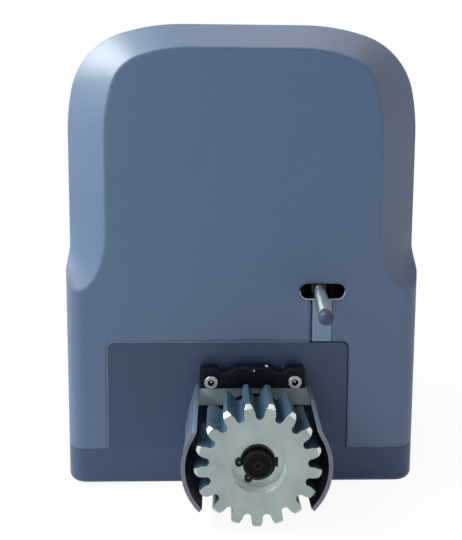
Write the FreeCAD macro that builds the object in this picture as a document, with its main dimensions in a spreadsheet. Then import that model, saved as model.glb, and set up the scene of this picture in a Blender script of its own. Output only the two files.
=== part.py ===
import FreeCAD, Part
import math
import os
import re
import Sketcher
from FreeCAD import Placement, Rotation, Vector

# Gearmotor for a sliding gate, millimetres.
# X runs across the face, Y from the gate side (minus) to the back, Z up from the foot of the base.

SIZES = [
    ("body_width", 237), ("body_depth", 190), ("body_height", 308), ("body_corner", 14),
    ("wall", 3), ("floor_thickness", 4), ("seam_height", 25), ("seam_gap", 0.7), ("foot_round", 4),
    ("panel_left_margin", 29.7), ("panel_right_margin", 48.8), ("panel_top", 97.5), ("panel_corner", 4),
    ("bevel_depth", 23), ("bevel_width", 29.2), ("bevel_drop", 20.4),
    ("rim_top_radius", 138), ("rim_corner_radius", 49.5), ("rim_side_radius", 144),
    ("face_top_radius", 96.6), ("face_corner_radius", 26.9), ("face_side_radius", 104.6),
    ("scoop_upper_radius", 55), ("scoop_lower_radius", 20),
    ("scoop_floor", 129.9), ("scoop_rise", 28),
    ("slot_x", 52.2), ("slot_z", 131.6), ("slot_length", 30.5), ("slot_width", 10.9),
    ("tongue_width", 12.7), ("tongue_gap", 0.8), ("tongue_gap_left", 1.4), ("tongue_gap_right", 0.4),
    ("axis_x", 7.6), ("axis_z", 38.2), ("centre_distance", 38),
    ("pinion_module", 4), ("pinion_teeth", 17), ("pinion_width", 30), ("pinion_gap", 16),
    ("pinion_phase", 9.6), ("recess_radius", 16), ("recess_depth", 6), ("tip_chamfer", 2.2),
    ("shaft_radius", 9), ("shoulder_radius", 12), ("shaft_end_gap", 2), ("key_width", 6),
    ("key_height", 6), ("run_gap", 0.05), ("end_gap", 0.3), ("fit_gap", 0.03),
    ("clip_thickness", 1.2), ("clip_radius", 10.6), ("clip_lug", 3.8),
    ("bearing_radius", 21), ("bearing_width", 12), ("seal_width", 6),
    ("boss_wall", 4), ("boss_reach", 9), ("neck_radius", 22), ("flange_thickness", 8),
    ("flange_half", 34), ("flange_round", 7), ("flange_top", 85), ("chamber_radius", 33.9), ("chamber_half", 18),
    ("chamber_bore", 31.5), ("tower_radius", 17.5), ("tower_bore", 13), ("tower_top", 84),
    ("cover_thickness", 6), ("cover_boss", 18), ("cover_bolt_circle", 35.5), ("cover_lug", 5.5),
    ("wheel_module", 2), ("wheel_teeth", 28), ("wheel_width", 12), ("worm_pitch_radius", 10),
    ("worm_length", 38), ("backlash", 0.2),
    ("rotor_shaft_radius", 6), ("rotor_bearing_width", 8), ("rotor_radius", 29), ("air_gap", 0.4),
    ("stator_radius", 50), ("stator_bottom", 104), ("stator_height", 44), ("motor_flange_height", 8),
    ("winding_inset", 12), ("winding_section", 5.4), ("motor_cap_height", 20),
    ("motor_bolt_gap", 5.5), ("motor_ear", 7), ("motor_bolt", 2.5),
    ("clamp_x", 6), ("clamp_half", 34.2), ("clamp_bottom", 71), ("clamp_top", 84.6),
    ("clamp_dip", 80.8), ("clamp_thickness", 8.5), ("lug_top", 84), ("lug_width", 11.8), ("lug_round", 2.6),
    ("plateau_half", 10.6), ("plateau_slope", 5.4), ("dip_slope", 2), ("ear_half", 6),
    ("screw_spread", 26.6), ("screw_z", 76.6), ("screw_radius", 2.5), ("head_radius", 4.3),
    ("head_height", 5), ("guard_plate", 2.5), ("bar_bottom", 55.8), ("bar_top", 67.4),
    ("guard_x", 7), ("guard_radius", 45.2), ("guard_wall", 2.5), ("guard_front", 43),
    ("guard_front_radius", 39), ("guard_front_spread", 6), ("guard_front_drop", 2.4),
    ("guard_top_half", 38), ("guard_top", 69.4),
    ("lever_swing", -7), ("lever_droop", 1.8), ("pivot_depth", 18), ("pivot_radius", 2.5),
    ("lever_z", 133.2), ("hub_radius", 7.5), ("arm_radius", 5), ("arm_length", 13),
    ("spring_radius", 3.5), ("wire_radius", 0.95), ("spring_pitch", 2.45), ("spring_start", 7),
    ("tip_reach", 76), ("tip_radius", 4.5),
    ("shelf_bottom", 119), ("shelf_thickness", 4), ("shelf_half", 15), ("shelf_gap", 20),
    ("capacitor_margin", 33.5), ("capacitor_y", -38), ("capacitor_radius", 20), ("capacitor_height", 78),
    ("transformer_margin", 30.5), ("transformer_gap", 32), ("core_length", 44), ("core_width", 38), ("core_height", 36),
    ("coil_length", 28), ("coil_width", 52), ("coil_height", 24),
    ("tray_margin", 25), ("tray_side_margin", 38.5), ("tray_top", 205), ("board_margin", 18), ("board_thickness", 1.6),
    ("board_side_margin", 48.5), ("board_bottom", 82), ("board_top", 198),
    ("relay_width", 18), ("relay_height", 22), ("relay_depth", 12), ("relay_pitch", 22),
    ("terminal_width", 60), ("terminal_height", 12), ("terminal_depth", 9), ("mouth_pitch", 5.8), ("mouth_width", 3),
    ("grommet_margin", 30.5), ("grommet_y", 38), ("grommet_radius", 14),
    ("foot_margin", 26.5), ("foot_inset", 27), ("foot_slot", 9), ("foot_slot_length", 22),
    ("release_half", 44), ("release_top", 62), ("release_depth", 16), ("release_pivot_x", -30),
    ("release_bottom", 34), ("release_height", 18), ("release_length", 66), ("lock_radius", 6),
]

doc = FreeCAD.newDocument("gearmotor")
sheet = doc.addObject("Spreadsheet::Sheet", "sizes")
for row, (alias, number) in enumerate(SIZES, 1):
    sheet.set("A%d" % row, alias)
    sheet.set("B%d" % row, str(number))
    sheet.setAlias("B%d" % row, alias)
doc.recompute()

ALIASES = {alias for alias, number in SIZES}
PARTS = []
FACE = "(-body_depth / 2)"
WORM_X = "(axis_x - centre_distance)"
PINION_BACK = "(-body_depth / 2 - pinion_gap)"
BEARING_FRONT = "(-body_depth / 2 - boss_reach + seal_width)"


# Sizes that follow from others.
DERIVED = {
    "panel_left": "body_width / 2 - panel_left_margin",
    "panel_right": "body_width / 2 - panel_right_margin",
    "foot_x": "body_width / 2 - foot_margin",
    "foot_y": "body_depth / 2 - foot_inset",
    "grommet_x": "-body_width / 2 + grommet_margin",
    "capacitor_x": "body_width / 2 - capacitor_margin",
    "transformer_x": "body_width / 2 - transformer_margin",
    "tray_y": "body_depth / 2 - tray_margin",
    "transformer_y": "body_depth / 2 - tray_margin - transformer_gap",
    "tray_half": "body_width / 2 - tray_side_margin",
    "board_y": "body_depth / 2 - board_margin",
    "board_half": "body_width / 2 - board_side_margin",
    "board_front": "body_depth / 2 - board_margin + board_thickness",
    "motor_bolt_radius": "stator_radius + motor_bolt_gap",
    "winding_radius": "stator_radius - winding_inset",
}


def size(alias):
    return float(sheet.get(alias))


def bound(text):
    """The expression with every size name pointed at the sheet."""
    def swap(match):
        name = match.group()
        if name in DERIVED:
            return "(" + bound(DERIVED[name]) + ")"
        return "sizes." + name if name in ALIASES else name

    return re.sub(r"[a-z_]+", swap, text)


def bind(obj, **expressions):
    for prop, text in expressions.items():
        obj.setExpression(prop.replace("__", "."), bound(text))
    return obj


def keep(name, obj):
    obj.Label = name
    PARTS.append(obj)
    return obj


def move(obj, x="0", y="0", z="0", axis="Z"):
    """Stands the object on its axis and binds its place to the sheet."""
    rotations = {"Z": Rotation(), "Y": Rotation(Vector(1, 0, 0), -90), "X": Rotation(Vector(0, 1, 0), 90)}
    obj.Placement = Placement(Vector(), rotations[axis])
    return bind(obj, Placement__Base__x=x, Placement__Base__y=y, Placement__Base__z=z)


def box(x0, x1, y0, y1, z0, z1):
    obj = doc.addObject("Part::Box", "Block")
    bind(obj, Length="(%s) - (%s)" % (x1, x0), Width="(%s) - (%s)" % (y1, y0), Height="(%s) - (%s)" % (z1, z0))
    return move(obj, x0, y0, z0)


def centred(x, length, y, width, z0, z1):
    """A box about a centre line."""
    return box("%s - (%s) / 2" % (x, length), "%s + (%s) / 2" % (x, length),
               "%s - (%s) / 2" % (y, width), "%s + (%s) / 2" % (y, width), z0, z1)


def rod(radius, length, x="0", y="0", z="0", axis="Z"):
    obj = doc.addObject("Part::Cylinder", "Rod")
    bind(obj, Radius=radius, Height=length)
    return move(obj, x, y, z, axis)


def fuse(*shapes):
    obj = doc.addObject("Part::MultiFuse", "Union")
    obj.Shapes = list(shapes)
    obj.Refine = True
    return obj


def cut(base, *tools):
    obj = doc.addObject("Part::Cut", "Difference")
    obj.Base = base
    obj.Tool = tools[0] if len(tools) == 1 else fuse(*tools)
    obj.Refine = True
    return obj


def group(*shapes):
    obj = doc.addObject("Part::Compound", "Set")
    obj.Links = list(shapes)
    return obj


def rounded(obj, radius, chosen):
    """A fillet on the edges whose middle passes the test."""
    doc.recompute()
    fillet = doc.addObject("Part::Fillet", "Rounding")
    fillet.Base = obj
    edges = [i for i, edge in enumerate(obj.Shape.Edges, 1) if chosen(edge)]
    fillet.Edges = [(i, radius, radius) for i in edges]
    return fillet


def upright(edge):
    return abs(edge.tangentAt(edge.FirstParameter).z) > 0.999 and edge.Length > 1


def upper_corner(edge):
    return abs(edge.tangentAt(0).y) > 0.9 and edge.CenterOfMass.z > size("seam_height") + 1


def fixed(shape):
    obj = doc.addObject("Part::Feature", "Form")
    obj.Shape = shape
    return obj


def plane_of(body, role):
    return next(item for item in body.Origin.OriginFeatures if item.Role == role)


def profile(body, points, plane="XZ_Plane"):
    """A closed sketch through the points, each held by two distances bound to the sheet."""
    sketch = body.newObject("Sketcher::SketchObject", "Profile")
    sketch.AttachmentSupport = (plane_of(body, plane), "")
    sketch.MapMode = "FlatFace"
    count = len(points)
    for i in range(count):
        a = Vector(i % 7 + 1.0, i + 1.0, 0)
        b = Vector((i + 1) % 7 + 1.5, i + 2.0, 0)
        sketch.addGeometry(Part.LineSegment(a, b), False)
    for i in range(count):
        sketch.addConstraint(Sketcher.Constraint("Coincident", i, 2, (i + 1) % count, 1))
    for i, (across, along) in enumerate(points):
        for kind, axis, text in (("DistanceX", -2, across), ("DistanceY", -1, along)):
            if text == "0":
                sketch.addConstraint(Sketcher.Constraint("PointOnObject", i, 1, axis))
            else:
                index = sketch.addConstraint(Sketcher.Constraint(kind, -1, 1, i, 1, 1.0))
                sketch.setExpression("Constraints[%d]" % index, bound(text))
    return sketch


def turned(points, x="0", y="0", z="0", axis="Z"):
    """A body turned from a half section of (radius, height) points."""
    body = doc.addObject("PartDesign::Body", "Turned")
    sketch = profile(body, points)
    turn = body.newObject("PartDesign::Revolution", "Revolution")
    turn.Profile = sketch
    turn.ReferenceAxis = (sketch, ["V_Axis"])
    turn.Angle = 360
    return move(body, x, y, z, axis)


def ring(inner, outer, height, **place):
    return turned([(inner, "0"), (outer, "0"), (outer, height), (inner, height)], **place)


def screw(shank, length, head, height, **place):
    """A socket screw whose head sits above the origin, with its shank pointing down."""
    points = [("0", "0"), (shank, "0"), (shank, length), (head, length), (head, length + " + " + height)]
    points += [("%s * 0.56" % head, length + " + " + height), ("%s * 0.56" % head, length + " + %s * 0.4" % height),
               ("0", length + " + %s * 0.4" % height)]
    return turned(points, **place)


def padded(points, height, plane="XY_Plane", **place):
    """A body padded up from a closed outline."""
    body = doc.addObject("PartDesign::Body", "Padded")
    sketch = profile(body, points, plane)
    pad = body.newObject("PartDesign::Pad", "Pad")
    pad.Profile = sketch
    pad.setExpression("Length", bound(height))
    return move(body, **place)


def arc_chain(start, heading, arcs):
    """Tangent arcs (radius, signed turn in degrees) or lines (length, 0) from a start point."""
    edges = []
    point = start
    angle = math.radians(heading)
    for radius, turn in arcs:
        if turn == 0:
            end = point + Vector(math.cos(angle), 0, math.sin(angle)) * radius
            edges.append(Part.LineSegment(point, end).toShape())
            point = end
            continue
        side = 1 if turn > 0 else -1
        centre = point + Vector(-math.sin(angle), 0, math.cos(angle)) * radius * side
        places = []
        for part in (0.5, 1):
            a = angle + math.radians(turn) * part
            places.append(centre - Vector(-math.sin(a), 0, math.cos(a)) * radius * side)
        edges.append(Part.Arc(point, places[0], places[1]).toShape())
        point = places[1]
        angle += math.radians(turn)
    return edges, point


def mirrored(edges):
    return [edge.mirror(Vector(), Vector(1, 0, 0)) for edge in edges]


def outline(half, top, arcs, side):
    """Half of a hood outline from the top middle to the foot, then its mirror image, as one wire."""
    reach = 0
    angle = 0
    for radius, turn in arcs:
        reach += radius * (math.sin(math.radians(angle + turn)) - math.sin(math.radians(angle)))
        angle += turn
    start = Vector(0, 0, top)
    edges, point = arc_chain(start, 0, [(half - reach, 0)] + [(r, -t) for r, t in arcs])
    for part in side(point):
        edges.append(part)
        point = part.Vertexes[-1].Point
    edges.append(Part.LineSegment(point, Vector(0, 0, point.z)).toShape())
    return edges


def wire_at(edges, y):
    whole = edges + mirrored(edges)[::-1]
    wire = Part.Wire(Part.__sortEdges__(whole))
    wire.translate(Vector(0, y, 0))
    return wire


# Tangent arcs of the hood's outlines, by the name of the radius and the turn in degrees.
RIM_ARCS = (("rim_top_radius", 17.6), ("rim_corner_radius", 60.7), ("rim_side_radius", 11.7))
FACE_ARCS = (("face_top_radius", 19.6), ("face_corner_radius", 52.3), ("face_side_radius", 18.1))
SCOOP_ARCS = (("scoop_upper_radius", 32), ("scoop_lower_radius", 58))


def hood_form(inset):
    """The hood's outer form, drawn in on every side by the inset."""
    half = size("body_width") / 2 - inset
    depth = size("body_depth") / 2
    top = size("body_height") - inset
    rim = 0.4 * inset
    floor = size("scoop_floor") - rim
    rise = size("scoop_rise")

    def face_side(point):
        run = [(size(radius) + rim, turn) for radius, turn in SCOOP_ARCS]
        drop = sum(r * (math.sin(math.radians(a + t)) - math.sin(math.radians(a))) for (r, t), a in zip(run, (0, 32)))
        first = Vector(point.x, 0, floor + drop)
        edges = [Part.LineSegment(point, first).toShape()]
        arcs, last = arc_chain(first, -90, run)
        edges += arcs
        corner = Vector(half, 0, floor)
        edges.append(Part.LineSegment(last, corner).toShape())
        edges.append(Part.LineSegment(corner, Vector(half, 0, 0)).toShape())
        return edges

    def outer_side(point):
        heights = [floor + rise + 30, floor + rise + 8, floor + rise + 2, floor + rise, 0]
        places = [point] + [Vector(point.x, 0, height) for height in heights]
        return [Part.LineSegment(a, b).toShape() for a, b in zip(places, places[1:])]

    face_half = size("body_width") / 2 - size("bevel_width") - rim
    face_top = size("body_height") - size("bevel_drop") - rim
    face = outline(face_half, face_top, [(size(r) - rim, t) for r, t in FACE_ARCS], face_side)
    outer = outline(half, top, [(size(r) - inset, t) for r, t in RIM_ARCS], outer_side)
    shoulder = depth - size("bevel_depth") - 0.49 * inset
    planes = ((face, -depth + inset), (outer, -shoulder), (outer, shoulder), (face, depth - inset))
    solid = Part.makeLoft([wire_at(edges, y) for edges, y in planes], True, True)
    corner = size("body_corner") - inset
    plan = Part.makeBox(2 * half, 2 * (depth - inset), top + 1, Vector(-half, -depth + inset, 0))
    plan = plan.makeFillet(corner, [edge for edge in plan.Edges if upright(edge)])
    return solid.common(plan)


def gear_wire(module, teeth, thin, phase):
    """A closed gear outline in the XY plane: arcs for flanks, tips and rounded gaps."""
    pitch = module * teeth / 2
    tip = pitch + module
    root = pitch - 1.25 * module
    base = pitch * math.cos(math.radians(20))

    def half_angle(radius):
        pressure = math.acos(min(1, base / radius))
        standard = math.tan(math.radians(20)) - math.radians(20)
        return math.pi / (2 * teeth) + standard - (math.tan(pressure) - pressure) - thin / pitch

    def at(radius, angle):
        return Vector(radius * math.cos(angle), radius * math.sin(angle), 0)

    low = max(base + 0.01, root + 0.55 * module)
    edges = []
    for tooth in range(teeth):
        middle = math.radians(phase) + 2 * math.pi * tooth / teeth
        rising = [at(r, middle - half_angle(r)) for r in (low, pitch, tip)]
        falling = [at(r, middle + half_angle(r)) for r in (tip, pitch, low)]
        following = at(low, middle + 2 * math.pi / teeth - half_angle(low))
        edges.append(Part.Arc(*rising).toShape())
        edges.append(Part.Arc(rising[2], at(tip, middle), falling[0]).toShape())
        edges.append(Part.Arc(*falling).toShape())
        edges.append(Part.Arc(falling[2], at(root, middle + math.pi / teeth), following).toShape())
    return Part.Wire(edges)


def hood():
    shell = fixed(hood_form(0).cut(hood_form(size("wall"))))
    below = box("-body_width", "body_width", "-body_depth", "body_depth", "-1", "seam_height + seam_gap")
    panel = box("-panel_left - seam_gap", "panel_right + seam_gap", FACE + " - 1", FACE + " + wall + 3",
                "0", "panel_top + seam_gap")
    panel = rounded(panel, size("panel_corner") + size("seam_gap"), upper_corner)
    notch = box("slot_x - tongue_width / 2 - tongue_gap_left", "slot_x + tongue_width / 2 + tongue_gap_right",
                FACE + " - 1", FACE + " + wall + 3", "panel_top - 5", "slot_z")
    back = box("-release_half - seam_gap", "release_half + seam_gap", "body_depth / 2 - wall - 3",
               "body_depth / 2 + 1", "0", "release_top + seam_gap")
    middle = box("slot_x - slot_length / 2 + slot_width / 2", "slot_x + slot_length / 2 - slot_width / 2",
                 FACE + " - 1", FACE + " + wall + 3", "slot_z - slot_width / 2", "slot_z + slot_width / 2")
    ends = [rod("slot_width / 2", "wall + 4", "slot_x %s (slot_length / 2 - slot_width / 2)" % side,
                FACE + " - 1", "slot_z", "Y") for side in "+-"]
    holes = [rod("screw_radius + fit_gap", "wall * 4", "%sbody_width / 2 - wall * 2" % side, "0",
                 "seam_height + 14", "X") for side in ("", "-")]
    keep("hood", cut(shell, below, panel, notch, back, middle, *ends, *holes))
    screws = []
    for side, turn in (("", 90), ("-", -90)):
        one = screw("screw_radius", "wall", "head_radius", "2.5")
        one.Placement = Placement(Vector(), Rotation(Vector(0, 1, 0), turn))
        screws.append(bind(one, Placement__Base__x="%s(body_width / 2 - wall)" % side,
                           Placement__Base__z="seam_height + 14"))
    keep("hood_screws", group(*screws))


def base():
    block = box("-body_width / 2", "body_width / 2", "-body_depth / 2", "body_depth / 2", "0", "seam_height")
    block = rounded(block, size("body_corner"), upright)
    block = rounded(block, size("foot_round"), lambda edge: edge.CenterOfMass.z < 0.01)
    well = box("-body_width / 2 + wall", "body_width / 2 - wall", "-body_depth / 2 + wall", "body_depth / 2 - wall",
               "floor_thickness", "seam_height + 1")
    well = rounded(well, size("body_corner") - size("wall"), upright)
    panel = box("-panel_left", "panel_right", FACE, FACE + " + wall", "seam_height - 1", "panel_top")
    panel = rounded(panel, size("panel_corner"), upper_corner)
    bore = rod("bearing_radius + boss_wall + 0.4", "wall + 4", "axis_x", FACE + " - 2", "axis_z", "Y")
    screws = [rod("screw_radius + 0.3", "wall + 4", "clamp_x %s screw_spread" % side, FACE + " - 2", "screw_z", "Y")
              for side in "+-"]
    slots = []
    for sx in ("", "-"):
        for sy in ("", "-"):
            x = sx + "foot_x"
            y = sy + "foot_y"
            half = "(foot_slot_length / 2 - foot_slot / 2)"
            slots.append(box(x + " - " + half, x + " + " + half, y + " - foot_slot / 2", y + " + foot_slot / 2",
                             "-1", "floor_thickness + 1"))
            for end in "+-":
                slots.append(rod("foot_slot / 2", "floor_thickness + 2", "%s %s %s" % (x, end, half), y, "-1"))
    foot_taps = [rod("screw_radius + fit_gap", "floor_thickness + 2", x, y, "-1") for x, y in foot_places()]
    inlet = rod("grommet_radius - 3", "floor_thickness + 2", "grommet_x", "grommet_y", "-1")
    keep("base_housing", cut(fuse(cut(block, well), panel), bore, inlet, *foot_taps, *screws, *slots))
    keep("cable_grommet", turned([
        ("grommet_radius - 6", "0.5"), ("grommet_radius - 3.05", "0.5"), ("grommet_radius - 3.05", "floor_thickness"),
        ("grommet_radius", "floor_thickness"), ("grommet_radius", "floor_thickness + 2"),
        ("grommet_radius - 4", "floor_thickness + 7"), ("grommet_radius - 6", "floor_thickness + 7")],
        x="grommet_x", y="grommet_y"))


def guard_wire(y, radius, centre, bottom, top, profile_points):
    """The section of one guard wall in a plane of constant Y, about the output axis."""
    wall = size("guard_wall")

    def at(reach, angle):
        angle = math.radians(angle)
        return centre + Vector(reach * math.cos(angle), y, reach * math.sin(angle))

    tops = [Vector(x, y, z) for x, z in profile_points]
    chain = [at(radius, top)] + tops + [point - Vector(wall, 0, 0) for point in tops[::-1]] + [at(radius - wall, top)]
    edges = [Part.Arc(*[at(radius, angle) for angle in (bottom, (bottom + top) / 2, top)]).toShape()]
    edges += [Part.LineSegment(a, b).toShape() for a, b in zip(chain, chain[1:])]
    edges.append(Part.Arc(*[at(radius - wall, angle) for angle in (top, (bottom + top) / 2, bottom)]).toShape())
    edges.append(Part.LineSegment(at(radius - wall, bottom), at(radius, bottom)).toShape())
    return Part.Wire(edges)


def guard_walls():
    """Two walls that narrow from the plate to a rounder front edge."""
    face = -size("body_depth") / 2
    radius = size("guard_front_radius")
    centre = Vector(size("guard_front_spread"), 0, -size("guard_front_drop"))
    corner = centre + Vector(radius * math.cos(math.radians(33)), 0, radius * math.sin(math.radians(33)))
    low = [(corner.x - 0.3, corner.z + 0.5), (corner.x - 0.7, corner.z + 1)]
    top = size("guard_top") - size("axis_z")
    high = [(0.94 * size("guard_radius"), top / 2), (size("guard_top_half"), top)]
    front = guard_wire(face - size("guard_front"), radius, centre, -43.5, 33, low)
    rear = guard_wire(face, size("guard_radius"), Vector(), -40, 4, high)
    wall = Part.makeLoft([front, rear], True, True)
    both = wall.fuse(wall.mirror(Vector(), Vector(1, 0, 0)))
    both.translate(Vector(size("guard_x"), 0, size("axis_z")))
    return fixed(both)


def guard():
    bar = box("guard_x - guard_top_half", "guard_x + guard_top_half", FACE + " - guard_plate", FACE, "bar_bottom",
              "bar_top + 1")
    ears = [box("clamp_x %s screw_spread - ear_half" % side, "clamp_x %s screw_spread + ear_half" % side,
                FACE + " - guard_plate", FACE, "bar_top", "screw_z + ear_half - 1") for side in "+-"]
    holes = [rod("screw_radius + fit_gap", "guard_plate + 2", "clamp_x %s screw_spread" % side,
                 FACE + " - guard_plate - 1", "screw_z", "Y") for side in "+-"]
    boss_room = rod("bearing_radius + boss_wall + seam_gap", "guard_plate + 2", "axis_x", FACE + " - guard_plate - 1",
                    "axis_z", "Y")
    keep("pinion_guard", cut(fuse(guard_walls(), bar, *ears), boss_room, *holes))
    half = [("clamp_half", "clamp_bottom"), ("clamp_half", "lug_top"), ("clamp_half - lug_width", "lug_top"),
            ("clamp_half - lug_width - dip_slope", "clamp_dip"), ("plateau_half + plateau_slope", "clamp_dip"),
            ("plateau_half", "clamp_top")]
    points = half + [("-(%s)" % x, z) for x, z in half[::-1]]
    block = padded(points, "clamp_thickness", "XZ_Plane", x="clamp_x", y=FACE + " - guard_plate")
    block = rounded(block, size("lug_round"), lambda edge: abs(edge.tangentAt(0).y) > 0.9
                    and edge.CenterOfMass.z > size("clamp_top") - 2)
    front = FACE + " - guard_plate - clamp_thickness"
    holes = [rod("screw_radius + fit_gap", "clamp_thickness + 2", "clamp_x %s screw_spread" % side, front + " - 1",
                 "screw_z", "Y") for side in "+-"]
    keep("guard_clamp", cut(block, *holes))
    length = "clamp_thickness + guard_plate + wall + flange_thickness - 1"
    screws = []
    for side in "+-":
        one = screw("screw_radius", length, "head_radius", "head_height", x="clamp_x %s screw_spread" % side,
                    z="screw_z")
        one.Placement = Placement(one.Placement.Base, Rotation(Vector(1, 0, 0), 90))
        screws.append(bind(one, Placement__Base__y=front + " + " + length))
    keep("guard_screws", group(*screws))


def gearbox():
    neck = rod("neck_radius", "body_depth / 2 - wall - chamber_half + 1", "axis_x", FACE + " + wall", "axis_z", "Y")
    boss = rod("bearing_radius + boss_wall", "boss_reach + wall + 20", "axis_x", FACE + " - boss_reach", "axis_z", "Y")
    flange = box("clamp_x - flange_half", "clamp_x + flange_half", FACE + " + wall", FACE + " + wall + flange_thickness",
                 "floor_thickness", "flange_top")
    flange = rounded(flange, size("flange_round"), upper_corner)
    chamber = rod("chamber_radius", "2 * chamber_half", "axis_x", "-chamber_half", "axis_z", "Y")
    foot = box(WORM_X + " - tower_radius - 14", "axis_x + 51", "-chamber_half", "chamber_half", "floor_thickness", "floor_thickness + 9")
    tower = rod("tower_radius", "tower_top - floor_thickness", WORM_X, "0", "floor_thickness")
    top = turned([("0", "0"), ("stator_radius", "0"), ("stator_radius", "motor_flange_height"), ("0", "motor_flange_height")],
                 x=WORM_X, z="tower_top")
    cradle = ring("stator_radius - 4", "stator_radius", "stator_bottom - tower_top - motor_flange_height + 0.5", x=WORM_X,
                  z="tower_top + motor_flange_height - 0.5")
    ears = motor_ears("tower_top", "motor_flange_height")
    web = box(WORM_X + " - 3", WORM_X + " + 3", "-45", "45", "tower_top - 24", "tower_top + 1")
    wheel_room = rod("chamber_bore", "chamber_half + 9", "axis_x", "-8", "axis_z", "Y")
    worm_room = rod("tower_bore", "tower_top + motor_flange_height - floor_thickness - 1", WORM_X, "0",
                    "floor_thickness + 2")
    shaft_room = rod("shoulder_radius + 1", "body_depth", "axis_x", FACE, "axis_z", "Y")
    seat = rod("bearing_radius", "seal_width + bearing_width + 0.2", "axis_x", FACE + " - boss_reach - 0.1", "axis_z", "Y")
    taps = [rod("screw_radius + fit_gap", "flange_thickness + 2", "clamp_x %s screw_spread" % side, FACE + " + wall - 1",
                "screw_z", "Y") for side in "+-"]
    bolt_rooms = [rod("motor_bolt + fit_gap", "40", x, y, "tower_top - 10") for x, y in motor_corners()]
    foot_rooms = [rod("screw_radius + fit_gap", "20", x, y, "floor_thickness - 1") for x, y in foot_places()]
    cover_rooms = [rod("2 + fit_gap", "12", x, "chamber_half - 10", z, "Y") for x, z in cover_places()]
    lugs = [rod("cover_lug", "14", x, "chamber_half - 14", z, "Y") for x, z in cover_places()]
    body = fuse(neck, boss, flange, chamber, foot, tower, top, cradle, web, *ears, *lugs)
    keep("gearbox_housing", cut(body, wheel_room, worm_room, shaft_room, seat, *taps, *bolt_rooms, *foot_rooms,
                                *cover_rooms))
    plate = rod("chamber_radius", "cover_thickness", "axis_x", "chamber_half", "axis_z", "Y")
    hub = rod("bearing_radius + boss_wall", "cover_boss", "axis_x", "chamber_half", "axis_z", "Y")
    rear_seat = rod("bearing_radius", "bearing_width + 1", "axis_x", "chamber_half + 2", "axis_z", "Y")
    entry = rod("shoulder_radius + 3", "4", "axis_x", "chamber_half - 1", "axis_z", "Y")
    end_room = rod("shaft_radius + 1", "2", "axis_x", "chamber_half + bearing_width + 2.5", "axis_z", "Y")
    cover_holes = [rod("2 + fit_gap", "cover_thickness + 2", x, "chamber_half - 1", z, "Y") for x, z in cover_places()]
    cover_lugs = [rod("cover_lug", "cover_thickness", x, "chamber_half", z, "Y") for x, z in cover_places()]
    keep("gearbox_cover", cut(fuse(plate, hub, *cover_lugs), rear_seat, entry, end_room, *cover_holes))
    screws = []
    for x, z in cover_places():
        one = screw("2", "cover_thickness + 8", "3.5", "4", x=x, y="0", z=z)
        one.Placement = Placement(Vector(), Rotation(Vector(1, 0, 0), -90))
        screws.append(bind(one, Placement__Base__y="chamber_half - 8"))
    keep("cover_screws", group(*screws))
    feet = [screw("screw_radius", "12.5", "head_radius", "head_height", x=x, y=y, z="floor_thickness + 9 - 13 + 0.5")
            for x, y in foot_places()]
    keep("gearbox_bolts", group(*feet))
    ring_points = [("shaft_radius + run_gap", "0"), ("bearing_radius - fit_gap", "0"),
                   ("bearing_radius - fit_gap", "bearing_width"), ("shaft_radius + run_gap", "bearing_width")]
    keep("front_bearing", turned(ring_points, x="axis_x", y=BEARING_FRONT, z="axis_z", axis="Y"))
    keep("rear_bearing", turned(ring_points, x="axis_x", y="chamber_half + 2", z="axis_z", axis="Y"))
    keep("oil_seal", turned([
        ("shaft_radius + run_gap", "1.5"), ("shaft_radius + 3", "0"), ("bearing_radius - fit_gap", "0"),
        ("bearing_radius - fit_gap", "seal_width"), ("shaft_radius + run_gap", "seal_width")],
        x="axis_x", y=FACE + " - boss_reach", z="axis_z", axis="Y"))


def cover_places():
    spread = "cover_bolt_circle * 0.70711"
    return [("axis_x %s %s" % (sx, spread), "axis_z %s %s" % (sz, spread)) for sx in "+-" for sz in "+-"]


def foot_places():
    return [(x, y) for x in ("axis_x + 44", WORM_X + " - tower_radius - 7") for y in ("6 - chamber_half", "chamber_half - 6")]


def motor_corners():
    spread = "(motor_bolt_radius * 0.70711)"
    return [("%s %s %s" % (WORM_X, sx, spread), sy + spread) for sx in "+-" for sy in ("", "-")]


def motor_ears(z, height):
    return [rod("motor_ear", height, x, y, z) for x, y in motor_corners()]


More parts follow.
